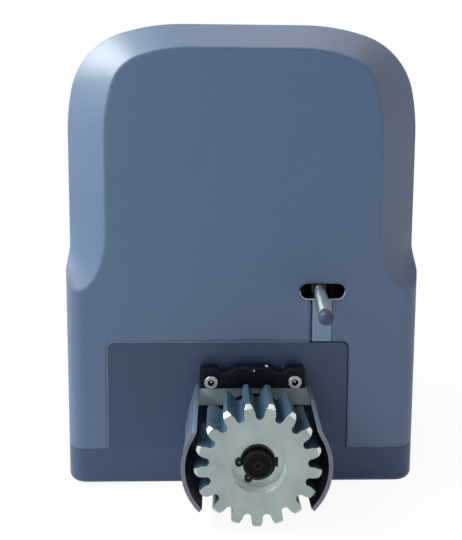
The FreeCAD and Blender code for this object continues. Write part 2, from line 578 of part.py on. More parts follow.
def output():
    pitch_wire = gear_wire(size("pinion_module"), int(size("pinion_teeth")), 0.05, 90 + size("pinion_phase"))
    width = size("pinion_width")
    blank = Part.Face(pitch_wire).extrude(Vector(0, 0, width))
    tip = size("pinion_module") * (size("pinion_teeth") / 2 + 1)
    chamfer = size("tip_chamfer")
    cone = Part.makeCone(tip + 1, tip - chamfer, chamfer + 1, Vector(0, 0, width - chamfer - 1))
    lower = Part.makeCylinder(tip + 1, width - chamfer - 1)
    teeth = fixed(blank.common(lower.fuse(cone)))
    teeth.Placement = Placement(Vector(), Rotation(Vector(1, 0, 0), 90))
    bind(teeth, Placement__Base__x="axis_x", Placement__Base__y=PINION_BACK, Placement__Base__z="axis_z")
    front = PINION_BACK + " - pinion_width"
    bore = rod("shaft_radius + fit_gap", "pinion_width + 2", "axis_x", front + " - 1", "axis_z", "Y")
    recess = rod("recess_radius", "recess_depth + 1", "axis_x", front + " - 1", "axis_z", "Y")
    way = box("axis_x", "axis_x + shaft_radius + key_height / 2 + fit_gap", front + " - 1", PINION_BACK + " + 1",
              "axis_z - key_width / 2 - fit_gap", "axis_z + key_width / 2 + fit_gap")
    keep("pinion", cut(teeth, bore, recess, way))
    shaft_end = front + " + shaft_end_gap"
    clip_y = front + " + recess_depth - clip_thickness"
    wheel_front = "(-wheel_width / 2)"
    shaft = turned([
        ("0", "2"), ("2", "0"), ("shaft_radius - 1", "0"), ("shaft_radius", "1"),
        ("shaft_radius", "recess_depth - clip_thickness - shaft_end_gap"),
        ("shaft_radius - 0.8", "recess_depth - clip_thickness - shaft_end_gap"),
        ("shaft_radius - 0.8", "recess_depth - shaft_end_gap"), ("shaft_radius", "recess_depth - shaft_end_gap"),
        ("shaft_radius", "%s + bearing_width + end_gap - (%s)" % (BEARING_FRONT, shaft_end)),
        ("shoulder_radius", "%s + bearing_width + end_gap - (%s)" % (BEARING_FRONT, shaft_end)),
        ("shoulder_radius", "%s - (%s)" % (wheel_front, shaft_end)), ("shaft_radius", "%s - (%s)" % (wheel_front, shaft_end)),
        ("shaft_radius", "chamber_half + 2 + bearing_width + 1 - (%s)" % shaft_end),
        ("0", "chamber_half + 2 + bearing_width + 1 - (%s)" % shaft_end)],
        x="axis_x", y=shaft_end, z="axis_z", axis="Y")
    key_slot = box("axis_x + shaft_radius - key_height / 2", "axis_x + shaft_radius + 1", front + " + recess_depth",
                   PINION_BACK + " - 2", "axis_z - key_width / 2", "axis_z + key_width / 2")
    wheel_slot = box("axis_x + shaft_radius - key_height / 2", "axis_x + shaft_radius + 1", wheel_front,
                     "-" + wheel_front, "axis_z - key_width / 2", "axis_z + key_width / 2")
    keep("output_shaft", cut(shaft, key_slot, wheel_slot))
    keep("pinion_key", box("axis_x + shaft_radius - key_height / 2 + fit_gap", "axis_x + shaft_radius + key_height / 2",
                           front + " + recess_depth + fit_gap", PINION_BACK + " - 2 - fit_gap",
                           "axis_z - key_width / 2 + fit_gap", "axis_z + key_width / 2 - fit_gap"))
    keep("wheel_key", box("axis_x + shaft_radius - key_height / 2 + fit_gap", "axis_x + shaft_radius + key_height / 2",
                          wheel_front + " + fit_gap", "wheel_width / 2 - fit_gap",
                          "axis_z - key_width / 2 + fit_gap", "axis_z + key_width / 2 - fit_gap"))
    keep("pinion_spacer", ring("shaft_radius + fit_gap", "shaft_radius + 4", "pinion_gap - boss_reach - end_gap",
                               x="axis_x", y=PINION_BACK, z="axis_z", axis="Y"))
    keep("wheel_spacer", ring("shaft_radius + fit_gap", "shaft_radius + 3", "chamber_half + 2 - wheel_width / 2 - end_gap",
                              x="axis_x", y="wheel_width / 2", z="axis_z", axis="Y"))
    circlip(clip_y)
    wheel()


def circlip(y):
    """An open ring with two eyed lugs either side of its gap."""
    ring_body = rod("clip_radius", "clip_thickness", "axis_x", y, "axis_z", "Y")
    lugs = []
    eyes = []
    for angle in (180, 240):
        x = "axis_x + (%.4f) * (clip_radius + 0.6)" % math.cos(math.radians(angle))
        z = "axis_z + (%.4f) * (clip_radius + 0.6)" % math.sin(math.radians(angle))
        lugs.append(rod("clip_lug / 1.6", "clip_thickness", x, y, z, "Y"))
        eyes.append(rod("clip_lug / 4", "clip_thickness + 2", x, y + " - 1", z, "Y"))
    hole = rod("shaft_radius - 0.8 + fit_gap", "clip_thickness + 2", "axis_x", y + " - 1", "axis_z", "Y")
    turn = Rotation(Vector(0, 1, 0), -210)
    corner = turn.multVec(Vector(size("shaft_radius") - 4, -1, -3.4))
    opening = doc.addObject("Part::Box", "Block")
    opening.Placement = Placement(Vector(), turn)
    bind(opening, Length="8", Width="clip_thickness + 2", Height="6.8", Placement__Base__x="axis_x + (%.4f)" % corner.x,
         Placement__Base__y=y + " - 1", Placement__Base__z="axis_z + (%.4f)" % corner.z)
    keep("circlip", cut(fuse(ring_body, *lugs), hole, opening, *eyes))


def wheel():
    module = size("wheel_module")
    teeth = int(size("wheel_teeth"))
    width = size("wheel_width")
    lead = math.atan(module / (2 * size("worm_pitch_radius")))
    twist = math.degrees(width * math.tan(lead) / (module * teeth / 2))
    phase = 180 / teeth
    low = gear_wire(module, teeth, size("backlash"), phase - twist / 2)
    high = gear_wire(module, teeth, size("backlash"), phase + twist / 2)
    high.translate(Vector(0, 0, width))
    blank = fixed(Part.makeLoft([low, high], True, True))
    blank.Placement = Placement(Vector(), Rotation(Vector(1, 0, 0), 90))
    bind(blank, Placement__Base__x="axis_x", Placement__Base__y="wheel_width / 2", Placement__Base__z="axis_z")
    bore = rod("shaft_radius + fit_gap", "wheel_width + 2", "axis_x", "-wheel_width / 2 - 1", "axis_z", "Y")
    way = box("axis_x", "axis_x + shaft_radius + key_height / 2 + fit_gap", "-wheel_width / 2 - 1", "wheel_width / 2 + 1",
              "axis_z - key_width / 2 - fit_gap", "axis_z + key_width / 2 + fit_gap")
    keep("worm_wheel", cut(blank, bore, way))


def worm_thread():
    """The worm's thread: a trapezoid swept up a right-hand helix about Z."""
    module = size("wheel_module")
    pitch = math.pi * module
    length = size("worm_length")
    turns = int(length / pitch)
    radius = size("worm_pitch_radius")
    root = radius - 1.2 * module
    tip = radius + module - 0.1
    slope = math.tan(math.radians(20))
    half = pitch / 4 - size("backlash") / 2
    low = half + (radius - root + 0.4) * slope
    top = half - (tip - radius) * slope
    start = -round(turns / 2) * pitch
    helix = Part.makeHelix(pitch, turns * pitch, root)
    corners = [(root - 0.4, -low), (tip, -top), (tip, top), (root - 0.4, low)]
    points = [Vector(x, 0, z) for x, z in corners]
    section = Part.makePolygon(points + points[:1])
    sweep = Part.Wire(helix.Edges).makePipeShell([section], True, True)
    sweep.translate(Vector(0, 0, start))
    return sweep


def rotor():
    thread = worm_thread()
    thread.translate(Vector(size("axis_x") - size("centre_distance"), 0, size("axis_z")))
    bottom = "floor_thickness + 2.6"
    upper = "tower_top - rotor_bearing_width + 4"
    cap_floor = "stator_bottom + stator_height + motor_cap_height - wall"
    start = "(%s)" % bottom
    worm_low = "axis_z - worm_length / 2 - 1"
    worm_high = "axis_z + worm_length / 2 + 1"
    spindle = turned([
        ("0", "0"), ("rotor_shaft_radius", "0"), ("rotor_shaft_radius", "%s - %s" % (worm_low, start)),
        ("worm_pitch_radius - 1.2 * wheel_module", "%s - %s" % (worm_low, start)),
        ("worm_pitch_radius - 1.2 * wheel_module", "%s - %s" % (worm_high, start)),
        ("rotor_shaft_radius", "%s - %s" % (worm_high, start)), ("rotor_shaft_radius", "%s + 2 - %s" % (cap_floor, start)),
        ("0", "%s + 2 - %s" % (cap_floor, start))], x=WORM_X, z=bottom)
    keep("worm_shaft", fuse(spindle, fixed(thread)))
    keep("rotor_core", ring("rotor_shaft_radius + fit_gap", "rotor_radius", "stator_height", x=WORM_X, z="stator_bottom"))
    bearing = [("rotor_shaft_radius + run_gap", "0"), ("tower_bore - fit_gap", "0"),
               ("tower_bore - fit_gap", "rotor_bearing_width"), ("rotor_shaft_radius + run_gap", "rotor_bearing_width")]
    keep("worm_bearing_lower", turned(bearing, x=WORM_X, z="floor_thickness + 2"))
    keep("worm_bearing_upper", turned(bearing, x=WORM_X, z=upper))


def motor():
    stack = ring("rotor_radius + air_gap", "stator_radius", "stator_height", x=WORM_X, z="stator_bottom")
    fins = []
    for k in range(24):
        fins.append(rod("1.6", "stator_height + 2", "%s + (%.4f) * (stator_radius + 0.6)" % (WORM_X, math.cos(k * math.pi / 12)),
                        "(%.4f) * (stator_radius + 0.6)" % math.sin(k * math.pi / 12), "stator_bottom - 1"))
    keep("motor_stator", cut(stack, *fins))
    coils = []
    for z in ("stator_bottom - winding_section", "stator_bottom + stator_height + winding_section"):
        torus = doc.addObject("Part::Torus", "Coil")
        bind(torus, Radius1="winding_radius", Radius2="winding_section - 0.1")
        coils.append(move(torus, WORM_X, "0", z))
    keep("motor_windings", group(*coils))
    cap = turned([
        ("stator_radius - 5", "0"), ("stator_radius", "0"), ("stator_radius", "motor_cap_height - 6"),
        ("stator_radius - 6", "motor_cap_height"), ("14", "motor_cap_height"), ("14", "motor_cap_height + 3"),
        ("rotor_shaft_radius + run_gap", "motor_cap_height + 3"),
        ("rotor_shaft_radius + run_gap", "motor_cap_height - wall"),
        ("stator_radius - 8", "motor_cap_height - wall"), ("stator_radius - 5", "motor_cap_height - wall - 3")],
        x=WORM_X, z="stator_bottom + stator_height")
    ears = motor_ears("stator_bottom + stator_height", "8")
    hollow = rod("stator_radius - 5", "20", WORM_X, "0", "stator_bottom + stator_height - 5")
    ears = [cut(ear, hollow) for ear in ears]
    holes = [rod("motor_bolt + fit_gap", "12", x, y, "stator_bottom + stator_height - 1") for x, y in motor_corners()]
    keep("motor_cap", cut(fuse(cap, *ears), *holes))
    length = "stator_bottom + stator_height + 8 - (tower_top + 1)"
    bolts = [screw("motor_bolt", length, "motor_bolt * 1.8", "motor_bolt * 1.6", x=x, y=y, z="tower_top + 1")
             for x, y in motor_corners()]
    keep("motor_bolts", group(*bolts))
    keep("capacitor", turned([
        ("0", "0"), ("capacitor_radius", "0"), ("capacitor_radius", "capacitor_height"),
        ("capacitor_radius - 2", "capacitor_height + 2"), ("0", "capacitor_height + 2")],
        x="capacitor_x", y="capacitor_y", z="floor_thickness"))
    band = ring("capacitor_radius + fit_gap", "capacitor_radius + 2", "14", x="capacitor_x", y="capacitor_y",
                z="floor_thickness")
    tab = box("capacitor_x - 8", "capacitor_x + 8", "capacitor_y + capacitor_radius + 1", "capacitor_y + capacitor_radius + 14",
              "floor_thickness", "floor_thickness + 2")
    keep("capacitor_clip", fuse(band, tab))
    foot = "floor_thickness + 2"
    core = centred("transformer_x", "core_length", "transformer_y", "core_width", foot, foot + " + core_height")
    feet = centred("transformer_x", "core_length + 10", "transformer_y", "core_width - 8", "floor_thickness", foot)
    coil = centred("transformer_x", "coil_length", "transformer_y", "coil_width",
                   foot + " + (core_height - coil_height) / 2", foot + " + (core_height + coil_height) / 2")
    coil = rounded(coil, 5, lambda edge: abs(edge.tangentAt(0).x) > 0.9)
    keep("transformer", fuse(core, feet, coil))


def electronics():
    plate = box("-tray_half", "tray_half", "tray_y", "tray_y + 2.5", "floor_thickness", "tray_top")
    flat = box("-tray_half", "tray_half", "tray_y - 12", "tray_y", "floor_thickness", "floor_thickness + 3")
    windows = [box("(%d * (tray_half - 23)) - 13" % k, "(%d * (tray_half - 23)) + 13" % k, "tray_y - 1", "tray_y + 4",
                   "release_top + 4", "release_top + 14") for k in (-1, 0, 1)]
    release = box("-release_half - 2", "release_half + 2", "tray_y - 13", "tray_y + 4", "floor_thickness - 1",
                  "release_top + 2")
    posts = [rod("3.5", "board_y - tray_y - 2.5", x, "tray_y + 2.5", z, "Y") for x, z in board_places()]
    holes = [rod("1.6", "12", x, "tray_y - 1", z, "Y") for x, z in board_places()]
    keep("board_tray", cut(fuse(plate, flat, *posts), *windows, release, *holes))
    board = box("-board_half", "board_half", "board_y", "board_y + board_thickness", "board_bottom", "board_top")
    keep("circuit_board", cut(board, *[rod("1.7", "6", x, "board_y - 2", z, "Y") for x, z in board_places()]))
    screws = []
    for x, z in board_places():
        one = screw("1.5", "board_thickness + 5", "2.8", "2", x=x, z=z)
        one.Placement = Placement(Vector(), Rotation(Vector(1, 0, 0), -90))
        screws.append(bind(one, Placement__Base__y="board_y - 5"))
    keep("board_screws", group(*screws))
    blocks = []
    for left in ("(-board_half + 8)", "(board_half - 8 - terminal_width)"):
        bottom = "board_bottom + 3"
        body = box(left, left + " + terminal_width", "board_front", "board_front + terminal_depth", bottom,
                   bottom + " + terminal_height")
        starts = ["%s + 2 + %d * mouth_pitch" % (left, n) for n in range(10)]
        mouths = [box(start, start + " + mouth_width", "board_front + 2", "board_front + terminal_depth - 2",
                      "board_bottom + 2", bottom + " + terminal_height / 2") for start in starts]
        blocks.append(cut(body, *mouths))
    keep("terminal_blocks", group(*blocks))
    relays = []
    for k in range(3):
        left = "-board_half + 10 + %d * relay_pitch" % k
        one = box(left, left + " + relay_width", "board_front", "board_front + relay_depth", "board_bottom + 30",
                  "board_bottom + 30 + relay_height")
        relays.append(rounded(one, 1.2, lambda edge: abs(edge.tangentAt(0).y) > 0.9))
    keep("relays", group(*relays))
    chip = box("board_half - 50", "board_half - 26", "board_front", "board_front + 3", "board_bottom + 34", "board_bottom + 46")
    tall = [rod("5", "11", "board_half - %d" % x, "board_front", "board_bottom + 80", "Y") for x in (50, 36, 22)]
    keep("board_components", group(chip, *tall))
    low = "-board_half + 10"
    holder = box(low, low + " + 26", "board_front", "board_front + 4", "board_bottom + 78", "board_bottom + 88")
    tube = rod("3", "20", low + " + 3", "board_front + 6", "board_bottom + 83", "X")
    posts = [box("%s + %d" % (low, x), "%s + %d" % (low, x + 3), "board_front + 2", "board_front + 11",
                 "board_bottom + 79", "board_bottom + 87") for x in (2, 21)]
    keep("fuse_holder", fuse(holder, tube, *posts))


def board_places():
    return [("%sboard_half %s 5" % (sx, "+" if sx else "-"), "board_%s %s 5" % (edge, "+" if edge == "bottom" else "-"))
            for sx in ("", "-") for edge in ("bottom", "top")]


PIVOT_Y = "(-body_depth / 2 + pivot_depth)"


def lever_place(obj, reach="0"):
    """Puts a piece drawn along its own Z on the lever's drooping, swung centre line."""
    swing = Rotation(Vector(0, 0, 1), size("lever_swing"))
    droop = Rotation(Vector(1, 0, 0), size("lever_droop"))
    along = Rotation(Vector(1, 0, 0), 90)
    turn = swing * droop * along
    ahead = turn.multVec(Vector(0, 0, 1))
    obj.Placement = Placement(Vector(), turn)
    return bind(obj, Placement__Base__x="slot_x + (%.6f) * (%s)" % (ahead.x, reach),
                Placement__Base__y="%s + (%.6f) * (%s)" % (PIVOT_Y, ahead.y, reach),
                Placement__Base__z="lever_z + (%.6f) * (%s)" % (ahead.z, reach))


def spring_shape():
    """One unbroken wire: quarter-turn arcs up a helix, swept with a round section."""
    radius = size("spring_radius") - size("wire_radius")
    pitch = size("spring_pitch")
    length = size("tip_reach") - size("tip_radius") - size("spring_start") - 2 * size("wire_radius") - 0.2
    turns = int(4 * length / pitch) / 4

    def at(turn):
        angle = 2 * math.pi * turn
        return Vector(radius * math.cos(angle), radius * math.sin(angle), size("wire_radius") + 0.15 + pitch * turn)

    steps = [0.25 * k for k in range(int(turns * 4))]
    path = Part.Wire([Part.Arc(at(k), at(k + 0.125), at(k + 0.25)).toShape() for k in steps])
    ahead = at(0.001) - at(0)
    circle = Part.Wire([Part.Circle(at(0), ahead, size("wire_radius")).toShape()])
    spring = path.makePipeShell([circle], True, False)
    print("spring turns %.2f, least gap to itself %.2f mm" % (turns, pitch - 2 * size("wire_radius")))
    return spring


def limit_switch():
    column = box("slot_x - 8", "slot_x + 8", FACE + " + wall + 0.4", FACE + " + wall + 12", "floor_thickness",
                 "shelf_bottom + 1")
    tongue = box("slot_x - tongue_width / 2", "slot_x + tongue_width / 2", FACE, FACE + " + wall + 1",
                 "panel_top + tongue_gap", "slot_z - slot_width / 2")
    back = PIVOT_Y + " + 22"
    shelf = box("slot_x - shelf_half", "slot_x + shelf_half", FACE + " + wall + 0.4", back, "shelf_bottom",
                "shelf_bottom + shelf_thickness")
    rear = box("slot_x - shelf_half", "slot_x + shelf_half", back + " - 2.5", back, "shelf_bottom",
               "shelf_bottom + 2 * shelf_thickness + shelf_gap")
    lid = box("slot_x - shelf_half", "slot_x + shelf_half", PIVOT_Y + " - 9", back,
              "shelf_bottom + shelf_thickness + shelf_gap", "shelf_bottom + 2 * shelf_thickness + shelf_gap")
    hole = rod("pivot_radius + fit_gap", "60", "slot_x", PIVOT_Y, "shelf_bottom + 1")
    keep("limit_housing", cut(fuse(column, tongue, shelf, rear, lid), hole))
    keep("pivot_pin", turned([
        ("0", "0"), ("pivot_radius", "0"), ("pivot_radius", "2 * shelf_thickness + shelf_gap - 1"),
        ("pivot_radius + 1.5", "2 * shelf_thickness + shelf_gap - 1"),
        ("pivot_radius + 1.5", "2 * shelf_thickness + shelf_gap + 1"), ("0", "2 * shelf_thickness + shelf_gap + 1")],
        x="slot_x", y=PIVOT_Y, z="shelf_bottom + 1"))
    hub = rod("hub_radius", "shelf_gap - 2 * end_gap", "slot_x", PIVOT_Y, "shelf_bottom + shelf_thickness + end_gap")
    arm = lever_place(rod("arm_radius", "arm_length"))
    tail = box("-2", "2", "0", "13", "-4", "4")
    tail.Placement = Placement(Vector(), Rotation(Vector(0, 0, 1), size("lever_swing")))
    bind(tail, Placement__Base__x="slot_x + 2 * %.5f * -1" % math.cos(math.radians(size("lever_swing"))),
         Placement__Base__y=PIVOT_Y, Placement__Base__z="shelf_bottom + shelf_thickness + shelf_gap / 2 - 4")
    bore = rod("pivot_radius + run_gap", "60", "slot_x", PIVOT_Y, "shelf_bottom")
    socket = lever_place(rod("spring_radius + fit_gap", "arm_length"), "spring_start - 0.1")
    keep("lever_cam", cut(fuse(hub, arm, tail), bore, socket))
    keep("lever_spring", lever_place(fixed(spring_shape()), "spring_start"))
    stem = "spring_radius - 2 * wire_radius - 0.15"
    ball = doc.addObject("Part::Sphere", "Ball")
    bind(ball, Radius="tip_radius")
    peg = lever_place(rod(stem, "tip_radius + 8"), "tip_reach - tip_radius - 8")
    keep("lever_tip", fuse(lever_place(ball, "tip_reach"), peg))
    switches = []
    for side in ("", "-"):
        body = box("slot_x + (%s12) - 2.6" % side, "slot_x + (%s12) + 2.6" % side, PIVOT_Y + " + 7", PIVOT_Y + " + 19.5",
                   "shelf_bottom + shelf_thickness", "shelf_bottom + shelf_thickness + 14")
        button = rod("1", "1", "slot_x + (%s12) %s" % (side, "- 3.4" if side == "" else "+ 2.4"), PIVOT_Y + " + 11",
                     "shelf_bottom + shelf_thickness + shelf_gap / 2", "X")
        switches.append(fuse(body, button))
    keep("microswitches", group(*switches))


def release():
    back = "body_depth / 2"
    socket = box("-release_half", "release_half", back + " - release_depth", back, "seam_height", "release_top")
    legs = [box("%srelease_half * 0.8 - 5" % side, "%srelease_half * 0.8 + 5" % side, back + " - release_depth",
                back + " - wall - 0.1", "floor_thickness", "seam_height + 1") for side in ("", "-")]
    pocket = box("release_pivot_x - 10", "release_pivot_x + release_length + 3", back + " - release_depth + wall",
                 back + " + 1", "release_bottom - 2", "release_bottom + release_height + 2")
    pin_room = rod("2 + fit_gap", "release_height + 8", "release_pivot_x", back + " - 6", "release_bottom - 4")
    keep("release_housing", cut(fuse(socket, *legs), pocket, pin_room))
    lever = box("release_pivot_x - 5", "release_pivot_x + release_length", "body_depth / 2 - release_depth + wall + 1",
                "body_depth / 2", "release_bottom - 1", "release_bottom + release_height + 1")
    lever = rounded(lever, 3, lambda edge: upright(edge))
    pin_hole = rod("2 + run_gap", "release_height + 10", "release_pivot_x", "body_depth / 2 - 6", "release_bottom - 5")
    grip = rod("9", "release_height + 10", "release_pivot_x + release_length - 14", "body_depth / 2 + 3", "release_bottom - 5")
    barrel_hole = rod("lock_radius + run_gap", "release_depth + 4", "release_pivot_x + 22",
                      "body_depth / 2 - release_depth", "release_bottom + release_height / 2", "Y")
    keep("release_lever", cut(lever, pin_hole, grip, barrel_hole))
    keep("release_pin", rod("2", "release_height + 6", "release_pivot_x", "body_depth / 2 - 6", "release_bottom - 3"))
    barrel = rod("lock_radius", "release_depth - wall - 1.5", "release_pivot_x + 22", "body_depth / 2 - release_depth + wall + 1",
                 "release_bottom + release_height / 2", "Y")
    key_gap = box("release_pivot_x + 21.4", "release_pivot_x + 22.6", "body_depth / 2 - 4", "body_depth / 2 + 1",
                  "release_bottom + release_height / 2 - 4", "release_bottom + release_height / 2 + 4")
    keep("lock_barrel", cut(barrel, key_gap))


def check():
    doc.recompute()
    for obj in doc.Objects:
        if "Invalid" in obj.State or "Error" in obj.State:
            raise RuntimeError("%s is %s" % (obj.Name, obj.State))
    for obj in PARTS:
        if obj.Shape.isNull() or not obj.Shape.isValid() or not obj.Shape.Solids:
            raise RuntimeError("%s has no valid solid" % obj.Label)


hood()
base()
guard()
gearbox()
output()
rotor()
motor()
electronics()
limit_switch()
release()
check()
os.makedirs("parts", exist_ok=True)
for item in PARTS:
    item.Shape.exportStep("parts/%s.step" % item.Label)
    print(item.Label, len(item.Shape.Solids), round(item.Shape.Volume))
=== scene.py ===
import math

import bpy
from mathutils import Matrix, Vector


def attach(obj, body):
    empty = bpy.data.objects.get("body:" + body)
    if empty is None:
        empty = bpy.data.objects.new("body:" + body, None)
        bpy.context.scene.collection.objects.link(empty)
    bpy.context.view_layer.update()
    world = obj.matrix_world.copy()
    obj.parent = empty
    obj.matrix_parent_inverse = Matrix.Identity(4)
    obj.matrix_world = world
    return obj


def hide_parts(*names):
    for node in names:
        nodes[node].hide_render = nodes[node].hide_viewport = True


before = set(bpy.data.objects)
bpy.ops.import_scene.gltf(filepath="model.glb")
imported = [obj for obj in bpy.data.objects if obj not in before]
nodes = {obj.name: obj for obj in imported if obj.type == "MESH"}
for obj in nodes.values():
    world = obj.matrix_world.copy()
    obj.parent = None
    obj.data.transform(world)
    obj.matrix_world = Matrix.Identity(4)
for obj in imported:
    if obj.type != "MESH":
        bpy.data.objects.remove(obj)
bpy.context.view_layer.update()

# Places on the part in metres: X to the right, Y to the back, Z up
PINION_AXIS_X, PINION_AXIS_Z = 0.0076, 0.0382
PINION_RECESS_RADIUS = 0.0175
GUARD_MIDDLE_X, GUARD_EDGE_Y = 0.007, -0.104
CLAMP_MIDDLE_X, CLAMP_SCREW_OFFSET = 0.006, 0.0266
CLAMP_SCREW_TOP_Y, CLAMP_SCREW_Z = -0.111, 0.0766
CLAMP_CHIPS = (((0.0151, -0.103, 0.0846), 0.001), ((0.0068, -0.106, 0.0826), 0.0006))
HOOD_SCREW_X, HOOD_SCREW_Z = 0.121, 0.039
SLOT_X, SLOT_Z, SLOT_HALF_LENGTH, SLOT_RADIUS = 0.0522, 0.1316, 0.0098, 0.00545
SLOT_LIP_Y, PANEL_LIP_Y = -0.0948, -0.0949
PANEL_LEFT_X, PANEL_RIGHT_X, PANEL_TOP_Z, PANEL_CORNER = -0.0888, 0.0438, 0.0975, 0.004
TRAY_TOP_Z, SEAM_Z, SEAM_Y = 0.0253, 0.02535, 0.09465
HOOD_CORNER_X, HOOD_CORNER_Y, HOOD_CORNER_RADIUS = 0.1045, 0.081, 0.014
LIP_GAP = 0.00035
LEVER_PIVOT = (0.0522, -0.077, 0.1332)
BOARD_FACE_Y = 0.0786
TERMINAL_FACE_Y, TERMINAL_SCREW_Z, TERMINAL_PITCH = 0.0876, 0.094, 0.0058
CAPACITOR_X, CAPACITOR_Y, CAPACITOR_TOP_Z = 0.085, -0.038, 0.084
TRANSFORMER_Y, TRANSFORMER_HALF_STACK, TRANSFORMER_FOOT_Z = 0.038, 0.0191, 0.0065


# Shader nodes
def srgb(r, g, b):
    """A colour from 0 to 255 values as linear light."""
    channels = [c / 255 for c in (r, g, b)]
    linear = (c / 12.92 if c <= 0.04045 else ((c + 0.055) / 1.055) ** 2.4 for c in channels)
    return tuple(linear) + (1.0,)


def feed(tree, node, inputs):
    """Sets a node's inputs to plain values, or links them to other nodes' sockets."""
    for key, value in inputs.items():
        if isinstance(value, bpy.types.NodeSocket):
            tree.links.new(value, node.inputs[key])
        else:
            node.inputs[key].default_value = value


def add_node(tree, kind, inputs=None, **settings):
    """A new node of a kind with its settings and inputs."""
    node = tree.nodes.new(kind)
    for name, value in settings.items():
        setattr(node, name, value)
    feed(tree, node, inputs or {})
    return node


def calc(tree, operation, *values):
    """The output of a Math node whose inputs are sockets or numbers."""
    node = add_node(tree, "ShaderNodeMath", dict(enumerate(values)), operation=operation)
    return node.outputs[0]


def calc_vector(tree, operation, *values):
    """A Vector Math node whose inputs are sockets or triples of numbers."""
    return add_node(tree, "ShaderNodeVectorMath", dict(enumerate(values)), operation=operation)


def blend_colours(tree, factor, under, over):
    """The output of a colour mix: the second colour where the factor is one."""
    node = add_node(tree, "ShaderNodeMix", {"Factor": factor, 6: under, 7: over}, data_type="RGBA")
    return node.outputs[2]


def coordinate(tree, kind):
    """A texture coordinate of the named kind."""
    return add_node(tree, "ShaderNodeTexCoord").outputs[kind]


def split(tree, kind):
    """The X, Y and Z of a texture coordinate of the named kind."""
    return add_node(tree, "ShaderNodeSeparateXYZ", {0: coordinate(tree, kind)}).outputs


def distance_from(tree, point, weights):
    """How far the surface is from a point, with a weight for each axis."""
    offset = calc_vector(tree, "SUBTRACT", coordinate(tree, "Object"), point)
    weighted = calc_vector(tree, "MULTIPLY", offset.outputs[0], weights)
    return calc_vector(tree, "LENGTH", weighted.outputs[0]).outputs["Value"]


def seen_rays(tree):
    """One for rays from the camera and for those in gloss and glass."""
    rays = add_node(tree, "ShaderNodeLightPath").outputs
    value = rays["Is Camera Ray"]
    for name in ("Is Glossy Ray", "Is Transmission Ray"):
        value = calc(tree, "MAXIMUM", value, rays[name])
    return value


# Camera
def place_camera():
    """Stands the camera where the photograph was taken from."""
    image_height, focal_length, centre_shift = 540, 524, -55  # pixels
    pitch, roll, yaw = (math.radians(a) for a in (4.95, 0.29, 1.25))
    turn = (Matrix.Rotation(roll, 3, "Y") @ Matrix.Rotation(pitch, 3, "X")
            @ Matrix.Rotation(yaw, 3, "Z"))
    right, ahead, up = turn.transposed().col
    data = bpy.data.cameras.new("view")
    data.sensor_width = 36
    data.lens = 36 * focal_length / image_height
    data.shift_y = centre_shift / image_height
    data.clip_start = 0.01
    data.clip_end = 50
    camera = bpy.data.objects.new("view", data)
    axes = Matrix((right, up, -ahead)).transposed().to_4x4()
    camera.matrix_world = Matrix.Translation((-0.0156, -0.4321, 0.2112)) @ axes
    bpy.context.scene.collection.objects.link(camera)
    bpy.context.scene.camera = camera


# Light: name, place, target, width and height, watts, colour
LAMPS = (
    ("window_left", (-1.8, 0.0, 0.45), (0, 0, 0.16), (1.3, 1.2), 3, (0.95, 1.0, 0.97)),
    ("upper_left", (-1.15, 0.08, 1.4), (0, 0, 0.2), (0.8, 0.8), 43, (0.96, 1.0, 0.94)),
    ("ceiling", (0.45, 0.35, 1.75), (0, 0, 0.2), (1.4, 1.1), 6, (1.0, 0.7, 0.42)),
    ("front_fill", (-1.0, -0.85, 0.85), (0, 0, 0.15), (0.8, 0.8), 5.9, (1.0, 1.0, 1.0)),
    ("warm_right", (1.6, -0.1, 0.4), (0.1, 0, 0.16), (0.9, 0.9), 1.2, (1.0, 0.45, 0.25)),
    ("back_fill", (1.1, 1.5, 0.8), (0, 0, 0.15), (1.2, 1.2), 7, (1.0, 0.95, 0.9)),
)


def add_lamps():
    for name, place, target, size, power, colour in LAMPS:
        data = bpy.data.lights.new(name, "AREA")
        data.shape = "RECTANGLE"
        data.size, data.size_y = size
        data.energy = power
        data.color = colour
        light = bpy.data.objects.new(name, data)
        aim = Vector(target) - Vector(place)
        light.rotation_euler = aim.to_track_quat("-Z", "Y").to_euler()
        light.location = place
        bpy.context.scene.collection.objects.link(light)


def make_world():
    """A dim glow, cool on the left and warm on the right, that is plain white where it is seen."""
    world = bpy.data.worlds.new("studio")
    bpy.context.scene.world = world
    world.use_nodes = True
    tree = world.node_tree
    tree.nodes.clear()
    shade = add_node(tree, "ShaderNodeMapRange", {
        "Value": split(tree, "Generated")["X"], "From Min": -0.8, "From Max": 0.8})
    tint = blend_colours(tree, shade.outputs[0], (0.31, 0.33, 0.345, 1), (0.13, 0.10, 0.08, 1))
    glow = add_node(tree, "ShaderNodeBackground", {"Color": tint, "Strength": 1.0})
    white = add_node(tree, "ShaderNodeBackground", {"Color": (1, 1, 1, 1), "Strength": 1.0})
    mix = add_node(tree, "ShaderNodeMixShader", {
        0: seen_rays(tree), 1: glow.outputs[0], 2: white.outputs[0]})
    add_node(tree, "ShaderNodeOutputWorld", {"Surface": mix.outputs[0]})


# Shared material effects
def new_group(name, sockets_in, sockets_out):
    """A node group with its sockets: the group, its inputs as sockets, and its end node."""
    group = bpy.data.node_groups.new(name, "ShaderNodeTree")
    for label, kind, default in sockets_in:
        socket = group.interface.new_socket(label, in_out="INPUT", socket_type=kind)
        socket.default_value = default
    for label, kind in sockets_out:
        group.interface.new_socket(label, in_out="OUTPUT", socket_type=kind)
    start = add_node(group, "NodeGroupInput")
    end = add_node(group, "NodeGroupOutput")
    return group, start.outputs, end


